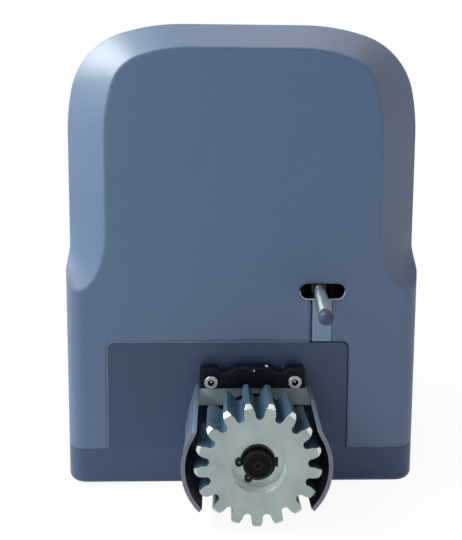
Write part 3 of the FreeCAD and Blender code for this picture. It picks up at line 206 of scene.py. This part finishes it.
def make_tone_group():
    """Colour that varies in brightness, with a painted highlight colour along the edges."""
    group, given, end = new_group(
        "surface_tone",
        [("Colour", "NodeSocketColor", (0.5, 0.5, 0.5, 1)), ("Amount", "NodeSocketFloat", 0.1),
         ("Scale", "NodeSocketFloat", 20.0), ("Edge highlight colour", "NodeSocketColor", (1, 1, 1, 1)),
         ("Edge highlight amount", "NodeSocketFloat", 0.0)],
        [("Colour", "NodeSocketColor")])
    noise = add_node(group, "ShaderNodeTexNoise", {
        "Vector": coordinate(group, "Object"), "Scale": given["Scale"], "Detail": 5})
    centred = calc(group, "SUBTRACT", noise.outputs["Fac"], 0.5)
    value = calc(group, "ADD", calc(group, "MULTIPLY", centred, given["Amount"]), 1.0)
    tone = add_node(group, "ShaderNodeHueSaturation", {"Color": given["Colour"], "Value": value})
    bevel = add_node(group, "ShaderNodeBevel", {"Radius": 0.0012}, samples=4)
    shape = add_node(group, "ShaderNodeNewGeometry")
    flatness = calc_vector(group, "DOT_PRODUCT", bevel.outputs[0], shape.outputs["Normal"])
    edge = add_node(group, "ShaderNodeMapRange", {
        "Value": flatness.outputs["Value"], "From Min": 0.99, "From Max": 0.88})
    # The edge colour is a painted highlight along the edges.
    edge_highlight = calc(group, "MULTIPLY", edge.outputs[0], given["Edge highlight amount"])
    colour = blend_colours(group, edge_highlight, tone.outputs[0], given["Edge highlight colour"])
    feed(group, end, {"Colour": colour})
    return group


def make_grain_group():
    """Fine grain and slow waviness as a bump, over edges softened by a small radius."""
    group, given, end = new_group(
        "surface_grain",
        [("Scale", "NodeSocketFloat", 900.0), ("Depth", "NodeSocketFloat", 0.1),
         ("Wave scale", "NodeSocketFloat", 25.0), ("Wave depth", "NodeSocketFloat", 0.05),
         ("Edge radius", "NodeSocketFloat", 0.0006), ("Roughness", "NodeSocketFloat", 0.4),
         ("Roughness spread", "NodeSocketFloat", 0.1)],
        [("Normal", "NodeSocketVector"), ("Roughness", "NodeSocketFloat")])
    place = coordinate(group, "Object")
    bevel = add_node(group, "ShaderNodeBevel", {"Radius": given["Edge radius"]}, samples=6)
    slow = add_node(group, "ShaderNodeTexNoise", {
        "Vector": place, "Scale": given["Wave scale"], "Detail": 2}).outputs["Fac"]
    fine = add_node(group, "ShaderNodeTexNoise", {
        "Vector": place, "Scale": given["Scale"], "Detail": 3}).outputs["Fac"]
    waves = add_node(group, "ShaderNodeBump", {
        "Strength": given["Wave depth"], "Distance": 0.002, "Height": slow,
        "Normal": bevel.outputs[0]})
    grain = add_node(group, "ShaderNodeBump", {
        "Strength": given["Depth"], "Distance": 0.0004, "Height": fine,
        "Normal": waves.outputs[0]})
    roughness = calc(group, "MULTIPLY_ADD", calc(group, "SUBTRACT", slow, 0.5),
                     given["Roughness spread"], given["Roughness"])
    feed(group, end, {"Normal": grain.outputs[0], "Roughness": roughness})
    return group


TONE = make_tone_group()
GRAIN = make_grain_group()


# Materials
def material(name, colour, roughness=0.4, metallic=0.0, specular=0.5, coat=0.0, spread=0.1,
             grain=900, depth=0.1, wave=25, wave_depth=0.05, edge=0.0006, amount=0.1,
             tone_scale=20, edge_highlight_colour=None, edge_highlight_amount=0.0):
    """A material with toned colour, grain, softened edges and a painted highlight along its edges
    where one is given.
    """
    made = bpy.data.materials.new(name)
    made.use_nodes = True
    tree = made.node_tree
    tone = add_node(tree, "ShaderNodeGroup", {
        "Colour": colour, "Amount": amount, "Scale": tone_scale,
        "Edge highlight colour": edge_highlight_colour or colour, "Edge highlight amount": edge_highlight_amount}, node_tree=TONE)
    relief = add_node(tree, "ShaderNodeGroup", {
        "Scale": grain, "Depth": depth, "Wave scale": wave, "Wave depth": wave_depth,
        "Edge radius": edge, "Roughness": roughness, "Roughness spread": spread},
        node_tree=GRAIN)
    feed(tree, shader_of(made), {
        "Metallic": metallic, "Specular IOR Level": specular, "Coat Weight": coat,
        "Base Color": tone.outputs["Colour"], "Normal": relief.outputs["Normal"],
        "Roughness": relief.outputs["Roughness"]})
    return made


def shader_of(made):
    return made.node_tree.nodes["Principled BSDF"]


def tone_of(made):
    """The node of a material that varies its colour."""
    return next(node for node in made.node_tree.nodes
                if node.type == "GROUP" and node.node_tree == TONE)


# The pinion's chamfer colour is a painted highlight and its recess colour a painted reflection.
ZINC, ZINC_FLANK, ZINC_CHAMFER_HIGHLIGHT = srgb(152, 164, 163), srgb(88, 118, 142), srgb(206, 214, 213)
ZINC_RECESS_REFLECTION = srgb(242, 251, 255)
# The guard's inside colour is painted shade and its bar colour painted light.
GUARD_WALL, GUARD_INSIDE_SHADE = srgb(131, 147, 172), srgb(24, 32, 46)
GUARD_BAR_LIGHT, GUARD_CUT_EDGE = srgb(222, 240, 252), srgb(104, 108, 124)
BASE, BASE_TRAY = srgb(52, 72, 101), srgb(55, 76, 107)
BOARD, BOARD_TRACK = srgb(24, 92, 58), srgb(58, 128, 78)
BARE_METAL = srgb(214, 216, 222)


def tint_pinion(made):
    """Greenish machined faces, bluish flanks, a painted highlight on the chamfers and a painted
    reflection on the pale recess wall.
    """
    tree = made.node_tree
    forward = calc(tree, "ABSOLUTE", split(tree, "Normal")["Y"])
    flank = calc(tree, "LESS_THAN", forward, 0.3)
    chamfer = calc(tree, "MULTIPLY", calc(tree, "GREATER_THAN", forward, 0.3),
                   calc(tree, "LESS_THAN", forward, 0.95))
    from_axis = distance_from(tree, (PINION_AXIS_X, 0, PINION_AXIS_Z), (1, 0, 1))
    recess = calc(tree, "MULTIPLY", calc(tree, "LESS_THAN", from_axis, PINION_RECESS_RADIUS),
                  calc(tree, "LESS_THAN", forward, 0.5))
    colour = blend_colours(tree, flank, ZINC, ZINC_FLANK)
    # Painted highlight on the chamfers.
    colour = blend_colours(tree, chamfer, colour, ZINC_CHAMFER_HIGHLIGHT)
    # Painted reflection on the recess wall.
    colour = blend_colours(tree, recess, colour, ZINC_RECESS_REFLECTION)
    feed(tree, tone_of(made), {"Colour": colour})
    metallic = calc(tree, "SUBTRACT", 1.0, calc(tree, "MULTIPLY", flank, 0.5))
    feed(tree, shader_of(made), {"Metallic": metallic})


def tint_guard(made):
    """Painted shade on the inner walls, purplish cut edges and painted light on the pale cross
    bar.
    """
    tree = made.node_tree
    place, normal = split(tree, "Object"), split(tree, "Normal")
    forward = calc(tree, "GREATER_THAN", calc(tree, "ABSOLUTE", normal["Y"]), 0.6)
    front = calc(tree, "LESS_THAN", place["Y"], GUARD_EDGE_Y)
    from_middle = calc(tree, "SUBTRACT", place["X"], GUARD_MIDDLE_X)
    shaded_inside = calc(tree, "LESS_THAN", calc(tree, "MULTIPLY", from_middle, normal["X"]), -0.003)
    # Painted shade on the inner walls.
    colour = blend_colours(tree, shaded_inside, GUARD_WALL, GUARD_INSIDE_SHADE)
    # Painted light on the cross bar.
    colour = blend_colours(tree, forward, colour, GUARD_BAR_LIGHT)
    colour = blend_colours(tree, calc(tree, "MULTIPLY", forward, front), colour, GUARD_CUT_EDGE)
    feed(tree, tone_of(made), {"Colour": colour})
    metallic = calc(tree, "SUBTRACT", 0.75, calc(tree, "MULTIPLY", forward, 0.45))
    feed(tree, shader_of(made), {"Metallic": metallic})


def lighten_tray(made):
    """The tray under the front panel is a little lighter than the panel."""
    tree = made.node_tree
    low = calc(tree, "LESS_THAN", split(tree, "Object")["Z"], TRAY_TOP_Z)
    feed(tree, tone_of(made), {"Colour": blend_colours(tree, low, BASE, BASE_TRAY)})


def add_stripes(made, pitch, depth, bend=0.0):
    """Fine level ridges, such as stacked sheets or wound wire."""
    tree = made.node_tree
    ridges = add_node(tree, "ShaderNodeTexWave", {
        "Vector": coordinate(tree, "Object"), "Scale": 0.314 / pitch, "Distortion": bend},
        wave_type="BANDS", bands_direction="Z")
    shader = shader_of(made)
    bump = add_node(tree, "ShaderNodeBump", {
        "Strength": depth, "Distance": 0.0005, "Height": ridges.outputs["Fac"],
        "Normal": shader.inputs["Normal"].links[0].from_socket})
    feed(tree, shader, {"Normal": bump.outputs[0]})


def draw_tracks(made):
    """Lighter copper tracks under the board's green varnish."""
    tree = made.node_tree
    place = split(tree, "Object")
    flat = add_node(tree, "ShaderNodeCombineXYZ", {"X": place["X"], "Y": place["Z"]})
    tracks = add_node(tree, "ShaderNodeTexBrick", {
        "Vector": flat.outputs[0], "Scale": 60, "Mortar Size": 0.03, "Brick Width": 0.9,
        "Row Height": 0.3})
    colour = blend_colours(tree, tracks.outputs["Fac"], BOARD, BOARD_TRACK)
    feed(tree, tone_of(made), {"Colour": colour})


def chip_clamp(made):
    """Two small chips in the clamp's paint."""
    tree = made.node_tree
    colour = tone_of(made).outputs["Colour"]
    for point, radius in CLAMP_CHIPS:
        near = calc(tree, "LESS_THAN", distance_from(tree, point, (1, 0.6, 1)), radius)
        colour = blend_colours(tree, near, colour, BARE_METAL)
    feed(tree, shader_of(made), {"Base Color": colour})


def make_materials():
    made = {
        # The hood's edge colour is a painted highlight along its edges.
        "hood": material(
            "hood_plastic", srgb(75, 100, 133), 0.48, specular=0.55, grain=1100, depth=0.4,
            wave=9, wave_depth=0.04, edge=0.004, amount=0.06, tone_scale=6,
            edge_highlight_colour=srgb(108, 140, 176), edge_highlight_amount=0.35),
        "base": material(
            "base_plastic", BASE, 0.4, specular=0.3, grain=1500, depth=0.25, wave=9,
            wave_depth=0.05, edge=0.0015, amount=0.1, tone_scale=8),
        # A lighter copy of the hood's plastic: painted light on the tongue's face.
        "tongue": material(
            "tongue_plastic_painted_light", srgb(111, 137, 167), 0.45, grain=1500, depth=0.2, edge=0.001),
        "zinc": material(
            "zinc_plate", ZINC, 0.32, 1.0, spread=0.35, grain=1100, depth=0.3, wave=60,
            wave_depth=0.1, edge=0.0004, amount=0.7, tone_scale=55),
        "screw_steel": material(
            "screw_steel", srgb(146, 149, 154), 0.24, 1.0, spread=0.2, grain=2500, depth=0.15,
            edge=0.0003, amount=0.2, tone_scale=300),
        "steel": material(
            "bright_steel", srgb(200, 200, 203), 0.25, 1.0, spread=0.2, grain=2500, depth=0.1,
            edge=0.0003, amount=0.15, tone_scale=200),
        # The black oxide's edge colour is a painted highlight along its edges.
        "black_steel": material(
            "black_oxide", srgb(8, 9, 12), 0.36, specular=0.07, grain=1400, depth=0.2,
            edge=0.0004, amount=0.3, tone_scale=120, edge_highlight_colour=srgb(96, 98, 104),
            edge_highlight_amount=0.5),
        # The guard's edge colour is a painted highlight along its edges.
        "guard": material(
            "guard_plate", srgb(142, 152, 172), 0.42, 0.75, grain=1200, depth=0.3, edge=0.0005,
            amount=0.12, tone_scale=60, edge_highlight_colour=srgb(146, 150, 162), edge_highlight_amount=0.4),
        "casting": material(
            "black_casting", srgb(6, 9, 16), 0.42, specular=0.25, grain=700, depth=0.5,
            wave=120, wave_depth=0.2, edge=0.001, amount=0.25, tone_scale=60),
        # The clamp's edge colour is a painted highlight along its edges.
        "clamp": material(
            "clamp_paint", srgb(8, 14, 25), 0.42, specular=0.13, grain=700, depth=0.4, wave=120,
            wave_depth=0.2, edge=0.0015, amount=0.25, tone_scale=60,
            edge_highlight_colour=srgb(52, 58, 70), edge_highlight_amount=0.5),
        "aluminium": material(
            "cast_aluminium", srgb(170, 174, 178), 0.42, 1.0, grain=500, depth=0.5, wave=70,
            wave_depth=0.2, amount=0.2, tone_scale=50),
        "rubber": material(
            "ball_rubber", srgb(60, 71, 96), 0.34, specular=0.16, grain=1600, depth=0.2,
            amount=0.15),
        "spring": material(
            "spring_steel", srgb(132, 138, 146), 0.42, 0.9, grain=2500, depth=0.1, edge=0.0002,
            amount=0.1, tone_scale=200),
        "black": material(
            "black_plastic", srgb(28, 29, 32), 0.45, grain=1500, depth=0.2, amount=0.15),
        "white": material(
            "white_plastic", srgb(222, 222, 216), 0.35, grain=1500, depth=0.1, amount=0.05),
        "copper": material(
            "winding_copper", srgb(176, 98, 52), 0.3, 0.9, amount=0.3, tone_scale=150),
        "laminations": material(
            "stator_sheets", srgb(120, 124, 130), 0.4, 0.8, amount=0.25, tone_scale=60),
        "board": material("board_green", BOARD, 0.35, coat=0.3, amount=0.2, tone_scale=90),
        "terminal": material("terminal_green", srgb(42, 140, 84), 0.4, amount=0.08),
        "relay": material("relay_blue", srgb(38, 74, 150), 0.3, amount=0.06),
        "bronze": material(
            "wheel_bronze", srgb(186, 142, 84), 0.3, 1.0, amount=0.2, tone_scale=90),
        # The slot bead's pale colour is a painted highlight.
        "slot_highlight": material("slot_highlight_bead", srgb(190, 208, 228), 0.35, grain=1500, depth=0.1),
        # This bead colour is a painted highlight along the panel's edges and the hood seam.
        "edge_highlight_bead": material("panel_highlight_bead", srgb(116, 136, 160), 0.4, grain=1500, depth=0.1),
        # A dark finish that paints the shade inside screw sockets and slots.
        "socket": material("socket_painted_shade", srgb(22, 22, 26), 0.4, 0.3),
        "tape": material("coil_tape", srgb(196, 160, 60), 0.45, amount=0.1, tone_scale=60),
        "led": material("indicator_red", srgb(190, 40, 36), 0.2, specular=0.6),
        "solder": material(
            "solder_tin", srgb(196, 198, 200), 0.3, 1.0, amount=0.1, tone_scale=300),
    }
    tint_pinion(made["zinc"])
    tint_guard(made["guard"])
    lighten_tray(made["base"])
    add_stripes(made["laminations"], 0.001, 0.6)
    add_stripes(made["copper"], 0.0014, 1.0, 2.0)
    add_stripes(made["tape"], 0.0016, 0.4, 1.0)
    draw_tracks(made["board"])
    chip_clamp(made["clamp"])
    return made


# The material of each node
FINISH = {
    "hood": "hood", "hood_screws": "black_steel",
    "base_housing": "base", "cable_grommet": "black", "release_housing": "base",
    "pinion_guard": "guard", "guard_clamp": "clamp", "guard_screws": "screw_steel",
    "gearbox_housing": "casting", "gearbox_cover": "aluminium",
    "cover_screws": "steel", "gearbox_bolts": "steel",
    "front_bearing": "steel", "rear_bearing": "steel", "oil_seal": "black",
    "pinion": "zinc", "output_shaft": "black_steel", "worm_wheel": "bronze",
    "pinion_key": "black_steel", "wheel_key": "steel",
    "pinion_spacer": "steel", "wheel_spacer": "steel", "circlip": "black_steel",
    "worm_shaft": "steel", "rotor_core": "laminations",
    "worm_bearing_lower": "steel", "worm_bearing_upper": "steel",
    "motor_stator": "laminations", "motor_windings": "copper",
    "motor_cap": "aluminium", "motor_bolts": "steel",
    "capacitor": "white", "capacitor_clip": "black", "transformer": "laminations",
    "board_tray": "black", "circuit_board": "board", "board_screws": "steel",
    "terminal_blocks": "terminal", "relays": "relay", "board_components": "black",
    "fuse_holder": "black",
    "limit_housing": "tongue", "pivot_pin": "steel", "microswitches": "black",
    "lever_cam": "black", "lever_spring": "spring", "lever_tip": "rubber",
    "release_lever": "black", "release_pin": "steel", "lock_barrel": "steel",
}


def dress_nodes(materials):
    for name, obj in nodes.items():
        obj.data.materials.clear()
        obj.data.materials.append(materials[FINISH[name]])
    rounding = nodes["guard_clamp"].modifiers.new("rounded_edges", "BEVEL")
    rounding.width = 0.0013
    rounding.segments = 3
    rounding.limit_method = "ANGLE"
    rounding.angle_limit = math.radians(35)


def wrap_transformer(materials):
    """The coil ends of the transformer are taped."""
    mesh = nodes["transformer"].data
    mesh.materials.append(materials["tape"])
    for face in mesh.polygons:
        beside_stack = abs(face.center.y - TRANSFORMER_Y) > TRANSFORMER_HALF_STACK
        if beside_stack and face.center.z > TRANSFORMER_FOOT_Z:
            face.material_index = 1


# Floor
def add_floor():
    """A white floor that keeps a soft shadow near the part and is plain white further off."""
    reach, level = 12, -0.0004
    corners = [(-reach, -reach), (reach, -reach), (reach, reach), (-reach, reach)]
    mesh = bpy.data.meshes.new("floor")
    mesh.from_pydata([(x, y, level) for x, y in corners], [], [(0, 1, 2, 3)])
    floor = bpy.data.objects.new("floor", mesh)
    bpy.context.scene.collection.objects.link(floor)
    made = bpy.data.materials.new("white_floor")
    made.use_nodes = True
    tree = made.node_tree
    shader = shader_of(made)
    feed(tree, shader, {"Base Color": (0.9, 0.9, 0.9, 1), "Roughness": 0.8})
    white = add_node(tree, "ShaderNodeEmission", {"Strength": 1.0})
    fade = add_node(tree, "ShaderNodeMapRange", {
        "Value": distance_from(tree, (0, 0, 0), (1, 1, 1)),
        "From Min": 0.12, "From Max": 0.34, "To Min": 0.93, "To Max": 1.0})
    share = calc(tree, "MULTIPLY", fade.outputs[0], seen_rays(tree))
    mix = add_node(tree, "ShaderNodeMixShader", {
        0: share, 1: shader.outputs[0], 2: white.outputs[0]})
    feed(tree, tree.nodes["Material Output"], {"Surface": mix.outputs[0]})
    floor.data.materials.append(made)


# Shapes as points and faces
def circle(radius, sides):
    """Points round the origin as pairs."""
    angles = [2 * math.pi * k / sides for k in range(sides)]
    return [(radius * math.cos(angle), radius * math.sin(angle)) for angle in angles]


def hexagon(flats, sides):
    """Points along a hexagon's outline as pairs, as many as a circle of that many sides has."""
    found = []
    for k in range(sides):
        angle = 360 * k / sides
        reach = flats / 2 / math.cos(math.radians((angle + 30) % 60 - 30))
        found.append((reach * math.cos(math.radians(angle)),
                      reach * math.sin(math.radians(angle))))
    return found


def skin(rings, sides):
    """Faces over rings of points that follow one another, closed at both ends."""
    faces = []
    for start in range(0, (rings - 1) * sides, sides):
        for k in range(sides):
            a, b = start + k, start + (k + 1) % sides
            faces.append((a, b, b + sides, a + sides))
    faces.append(tuple(range(sides))[::-1])
    faces.append(tuple(range((rings - 1) * sides, rings * sides)))
    return faces


def tube_along(path, radius, across=(0, 1, 0), sides=8):
    """A round bead along a path that is square to one axis, closed at both ends."""
    across = Vector(across)
    points = []
    for i, here in enumerate(path):
        before = path[max(0, i - 1)]
        after = path[min(len(path) - 1, i + 1)]
        ahead = (Vector(after) - Vector(before)).normalized()
        up = ahead.cross(across).normalized()
        points += [tuple(Vector(here) + radius * (u * across + v * up))
                   for u, v in circle(1, sides)]
    return points, skin(len(path), sides)


def arc(centre, radius, start, stop, y, steps=10):
    """Points of an arc in an upright plane, angles in degrees."""
    found = []
    for k in range(steps + 1):
        angle = math.radians(start + (stop - start) * k / steps)
        x, z = centre[0] + radius * math.cos(angle), centre[1] + radius * math.sin(angle)
        found.append((x, y, z))
    return found


def boxes(places):
    """Many boxes, each from its low corner to its high corner."""
    sides = ((0, 3, 2, 1), (4, 5, 6, 7), (0, 1, 5, 4), (1, 2, 6, 5), (2, 3, 7, 6), (3, 0, 4, 7))
    points, faces = [], []
    for (x0, y0, z0), (x1, y1, z1) in places:
        n = len(points)
        points += [(x, y, z) for z in (z0, z1)
                   for x, y in ((x0, y0), (x1, y0), (x1, y1), (x0, y1))]
        faces += [tuple(n + i for i in side) for side in sides]
    return points, faces


def discs(places, radius, height, sides=20):
    """Short cylinders that stand on the board, along Y."""
    points, faces = [], []
    for x, y, z in places:
        n = len(points)
        for depth in (y, y + height):
            points += [(x + u, depth, z + v) for u, v in circle(radius, sides)]
        for k in range(sides):
            a, b = n + k, n + (k + 1) % sides
            faces.append((a, a + sides, b + sides, b))
        faces.append(tuple(range(n + sides, n + 2 * sides))[::-1])
        faces.append(tuple(range(n, n + sides)))
    return points, faces


def socket_screw(shank, length, head, height, flats, depth, sides=48):
    """A socket screw along Z, its head's top at zero: points, faces, and the socket's faces, which
    take painted shade.
    """
    bevel = 0.1 * head
    hub = 0.2 * flats
    rings = [(shank, -height - length), (shank, -height), (head, -height), (head, -bevel),
             (head - bevel, 0)]
    points = [(x, y, z) for radius, z in rings for x, y in circle(radius, sides)]
    points += [(x, y, z) for z in (0, -depth) for x, y in hexagon(flats, sides)]
    points += [(x, y, hub - depth) for x, y in circle(hub, sides)]
    bands = len(rings) + 2
    shaded_socket_faces = range((bands - 2) * sides, bands * sides)
    return points, skin(bands + 1, sides), shaded_socket_faces


# Pieces finer than the solids
def add_piece(name, shape, body, *materials, smooth=None):
    """A mesh that rides on a body, with edges below an angle in degrees shaded smooth."""
    points, faces = shape
    mesh = bpy.data.meshes.new(name)
    mesh.from_pydata(points, [], faces)
    mesh.validate()
    for finish in materials:
        mesh.materials.append(finish)
    obj = bpy.data.objects.new(name, mesh)
    bpy.context.scene.collection.objects.link(obj)
    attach(obj, body)
    if smooth is not None:
        mesh.set_sharp_from_angle(angle=math.radians(smooth))
        for face in mesh.polygons:
            face.use_smooth = True
    return obj


def add_slot_highlight(materials):
    """A pale bead in the lower half of the lever's slot, a painted highlight on the slot's lower
    edge.
    """
    radius = SLOT_RADIUS - 0.0004
    left = (SLOT_X - SLOT_HALF_LENGTH, SLOT_Z)
    right = (SLOT_X + SLOT_HALF_LENGTH, SLOT_Z)
    path = arc(left, radius, 175, 270, SLOT_LIP_Y) + arc(right, radius, 270, 365, SLOT_LIP_Y)
    add_piece("slot_highlight_bead", tube_along(path, 0.00028), "cover", materials["slot_highlight"], smooth=60)


def add_panel_highlight(materials):
    """A fine pale bead along the front panel's left and upper edges, a painted highlight in the
    gap there.
    """
    x, y, z = PANEL_LEFT_X - LIP_GAP, PANEL_LIP_Y, PANEL_TOP_Z + LIP_GAP
    corner = (PANEL_LEFT_X + PANEL_CORNER, PANEL_TOP_Z - PANEL_CORNER)
    path = [(x, y, 0.0262), (x, y, 0.06)]
    path += arc(corner, PANEL_CORNER + LIP_GAP, 180, 90, y)
    path += [(-0.04, y, z), (0.0, y, z), (PANEL_RIGHT_X, y, z)]
    add_piece("panel_highlight_bead", tube_along(path, 0.0003), "housing", materials["edge_highlight_bead"], smooth=60)


def add_seam_highlights(materials):
    """A pale bead in the seam between hood and tray, a painted highlight along the seam, one from
    the panel to the release on each side.
    """
    inner = HOOD_CORNER_RADIUS - LIP_GAP
    angles = [math.radians(90 * turn / 8) for turn in range(9)]
    for name, way, start in (("seam_highlight_left", -1, -0.0893), ("seam_highlight_right", 1, 0.0702)):
        path = [(start, -SEAM_Y, SEAM_Z), (way * HOOD_CORNER_X, -SEAM_Y, SEAM_Z)]
        path += [(way * (HOOD_CORNER_X + inner * math.sin(angle)),
                  -HOOD_CORNER_Y - inner * math.cos(angle), SEAM_Z) for angle in angles[1:]]
        path += [(way * (HOOD_CORNER_X + inner * math.cos(angle)),
                  HOOD_CORNER_Y + inner * math.sin(angle), SEAM_Z) for angle in angles]
        path.append((way * 0.0449, SEAM_Y, SEAM_Z))
        add_piece(name, tube_along(path, 0.00032, (0, 0, 1)), "housing", materials["edge_highlight_bead"],
                  smooth=60)


def add_screws(name, places, size, body, metal, shade_finish):
    """Equal socket screws, each at a place and turned by a matrix, with painted shade in their
    sockets.
    """
    points, faces, shaded_faces = [], [], []
    for place, turn in places:
        new_points, new_faces, shaded_socket_faces = socket_screw(**size)
        start, first = len(points), len(faces)
        points += [tuple(Vector(place) + (turn @ Vector(p))) for p in new_points]
        faces += [tuple(start + i for i in face) for face in new_faces]
        shaded_faces += [first + i for i in shaded_socket_faces]
    obj = add_piece(name, (points, faces), body, metal, shade_finish, smooth=30)
    # The socket faces take the painted shade.
    for i in shaded_faces:
        obj.data.polygons[i].material_index = 1
    return obj


def replace_screws(materials):
    """The clamp's and the hood's screws, with painted shade in the sockets in their heads."""
    forward = Matrix.Rotation(math.radians(90), 3, "X")
    places = [((CLAMP_MIDDLE_X + way * CLAMP_SCREW_OFFSET, CLAMP_SCREW_TOP_Y, CLAMP_SCREW_Z),
               forward) for way in (-1, 1)]
    size = {"shank": 0.0025, "length": 0.021, "head": 0.0043, "height": 0.005, "flats": 0.004,
            "depth": 0.0028}
    heads = add_screws("clamp_screws", places, size, "housing", materials["screw_steel"],
                       materials["socket"])
    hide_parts("guard_screws")
    places = [((way * HOOD_SCREW_X, 0, HOOD_SCREW_Z),
               Matrix.Rotation(math.radians(90 * way), 3, "Y")) for way in (-1, 1)]
    size = {"shank": 0.0025, "length": 0.003, "head": 0.0043, "height": 0.0025, "flats": 0.003,
            "depth": 0.0018}
    heads = add_screws("cover_side_screws", places, size, "cover", materials["black_steel"],
                       materials["socket"])
    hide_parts("hood_screws")


def wind_spring(materials):
    """The lever's close-wound spring, a little wider outside the hood than in its socket."""
    pivot = Vector(LEVER_PIVOT)
    swing, droop = math.radians(7), math.radians(1.8)
    ahead = Vector((-math.sin(swing) * math.cos(droop), -math.cos(swing) * math.cos(droop),
                    -math.sin(droop)))
    side = ahead.cross(Vector((0, 0, 1))).normalized()
    up = side.cross(ahead)
    wire, pitch, per_turn, sides = 0.0006, 0.00127, 20, 6
    socket_radius, widening = 0.0035, 0.0006
    first, widens_at, widens_over, last = 0.0078, 0.021, 0.012, 0.0707  # along the lever
    steps = int((last - first) / pitch * per_turn)
    points = []
    for i in range(steps + 1):
        along = first + (last - first) * i / steps
        grown = min(1.0, max(0.0, (along - widens_at) / widens_over))
        radius = socket_radius + widening * grown * grown * (3 - 2 * grown) - wire
        angle = 2 * math.pi * i / per_turn
        out = math.cos(angle) * side + math.sin(angle) * up
        points += [tuple(pivot + (radius + u) * out + (along + v) * ahead)
                   for u, v in circle(wire, sides)]
    coil = add_piece("lever_coil", (points, skin(steps + 1, sides)), "limit_lever",
                     materials["spring"], smooth=80)
    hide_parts("lever_spring")


# Chips on the board: X, Z, width, height
BOARD_CHIPS = (
    (-0.05, 0.146, 0.012, 0.006), (-0.03, 0.146, 0.006, 0.006), (-0.012, 0.142, 0.005, 0.01),
    (0.0, 0.15, 0.008, 0.005), (0.002, 0.118, 0.005, 0.008), (0.056, 0.118, 0.006, 0.004),
    (0.056, 0.128, 0.006, 0.004), (0.005, 0.168, 0.008, 0.012), (-0.008, 0.186, 0.012, 0.004),
)
# Rows of ten pads: the first pad's low and high X, pitch, low and high Z, thickness
BOARD_PADS = (
    (0.0205, 0.0217, 0.0024, 0.1145, 0.116, 0.0008),
    (0.0205, 0.0217, 0.0024, 0.128, 0.1295, 0.0008),
    (-0.03, -0.0285, 0.003, 0.158, 0.1595, 0.0005),
)


def add_terminal_screws(materials):
    """A slotted screw in each pole of the two terminal blocks, with painted shade in the slots."""
    starts = [left + 0.002 + TERMINAL_PITCH * n for left in (-0.062, 0.002) for n in range(10)]
    screws = [(x + 0.0015, TERMINAL_FACE_Y, TERMINAL_SCREW_Z) for x in starts]
    add_piece("terminal_screws", discs(screws, 0.0016, 0.0005), "housing", materials["solder"],
              smooth=30)
    slots = [((x + 0.0001, 0.0881, 0.0938), (x + 0.0029, 0.08825, 0.0942)) for x in starts]
    # Dark boxes paint the shade in the screw slots.
    add_piece("terminal_screw_slots", boxes(slots), "housing", materials["socket"])


def add_board_parts(materials):
    """Chips, soldered pads and indicator lights on the board."""
    chips = [((x, BOARD_FACE_Y, z), (x + width, BOARD_FACE_Y + 0.0016, z + height))
             for x, z, width, height in BOARD_CHIPS]
    add_piece("board_chips", boxes(chips), "housing", materials["black"])
    pads = [((x0 + pitch * k, BOARD_FACE_Y, z0), (x1 + pitch * k, BOARD_FACE_Y + thick, z1))
            for k in range(10) for x0, x1, pitch, z0, z1, thick in BOARD_PADS]
    add_piece("board_pads", boxes(pads), "housing", materials["solder"])
    lights = [(0.052 + 0.005 * k, BOARD_FACE_Y, 0.142) for k in range(3)]
    add_piece("board_lights", discs(lights, 0.0015, 0.003), "housing", materials["led"],
              smooth=30)


def add_capacitor_blades(materials):
    """The capacitor's four contact blades."""
    blades = []
    for dx in (-0.009, 0.003):
        for dy in (-0.003, 0.002):
            x, y, z = CAPACITOR_X + dx, CAPACITOR_Y + dy, CAPACITOR_TOP_Z
            blades.append(((x, y, z), (x + 0.006, y + 0.0008, 0.094)))
    add_piece("capacitor_blades", boxes(blades), "housing", materials["solder"])


place_camera()
add_lamps()
make_world()
finishes = make_materials()
dress_nodes(finishes)
wrap_transformer(finishes)
add_slot_highlight(finishes)
add_panel_highlight(finishes)
add_seam_highlights(finishes)
replace_screws(finishes)
wind_spring(finishes)
add_terminal_screws(finishes)
add_board_parts(finishes)
add_capacitor_blades(finishes)
add_floor()

bpy.context.scene.view_settings.view_transform = "Standard"
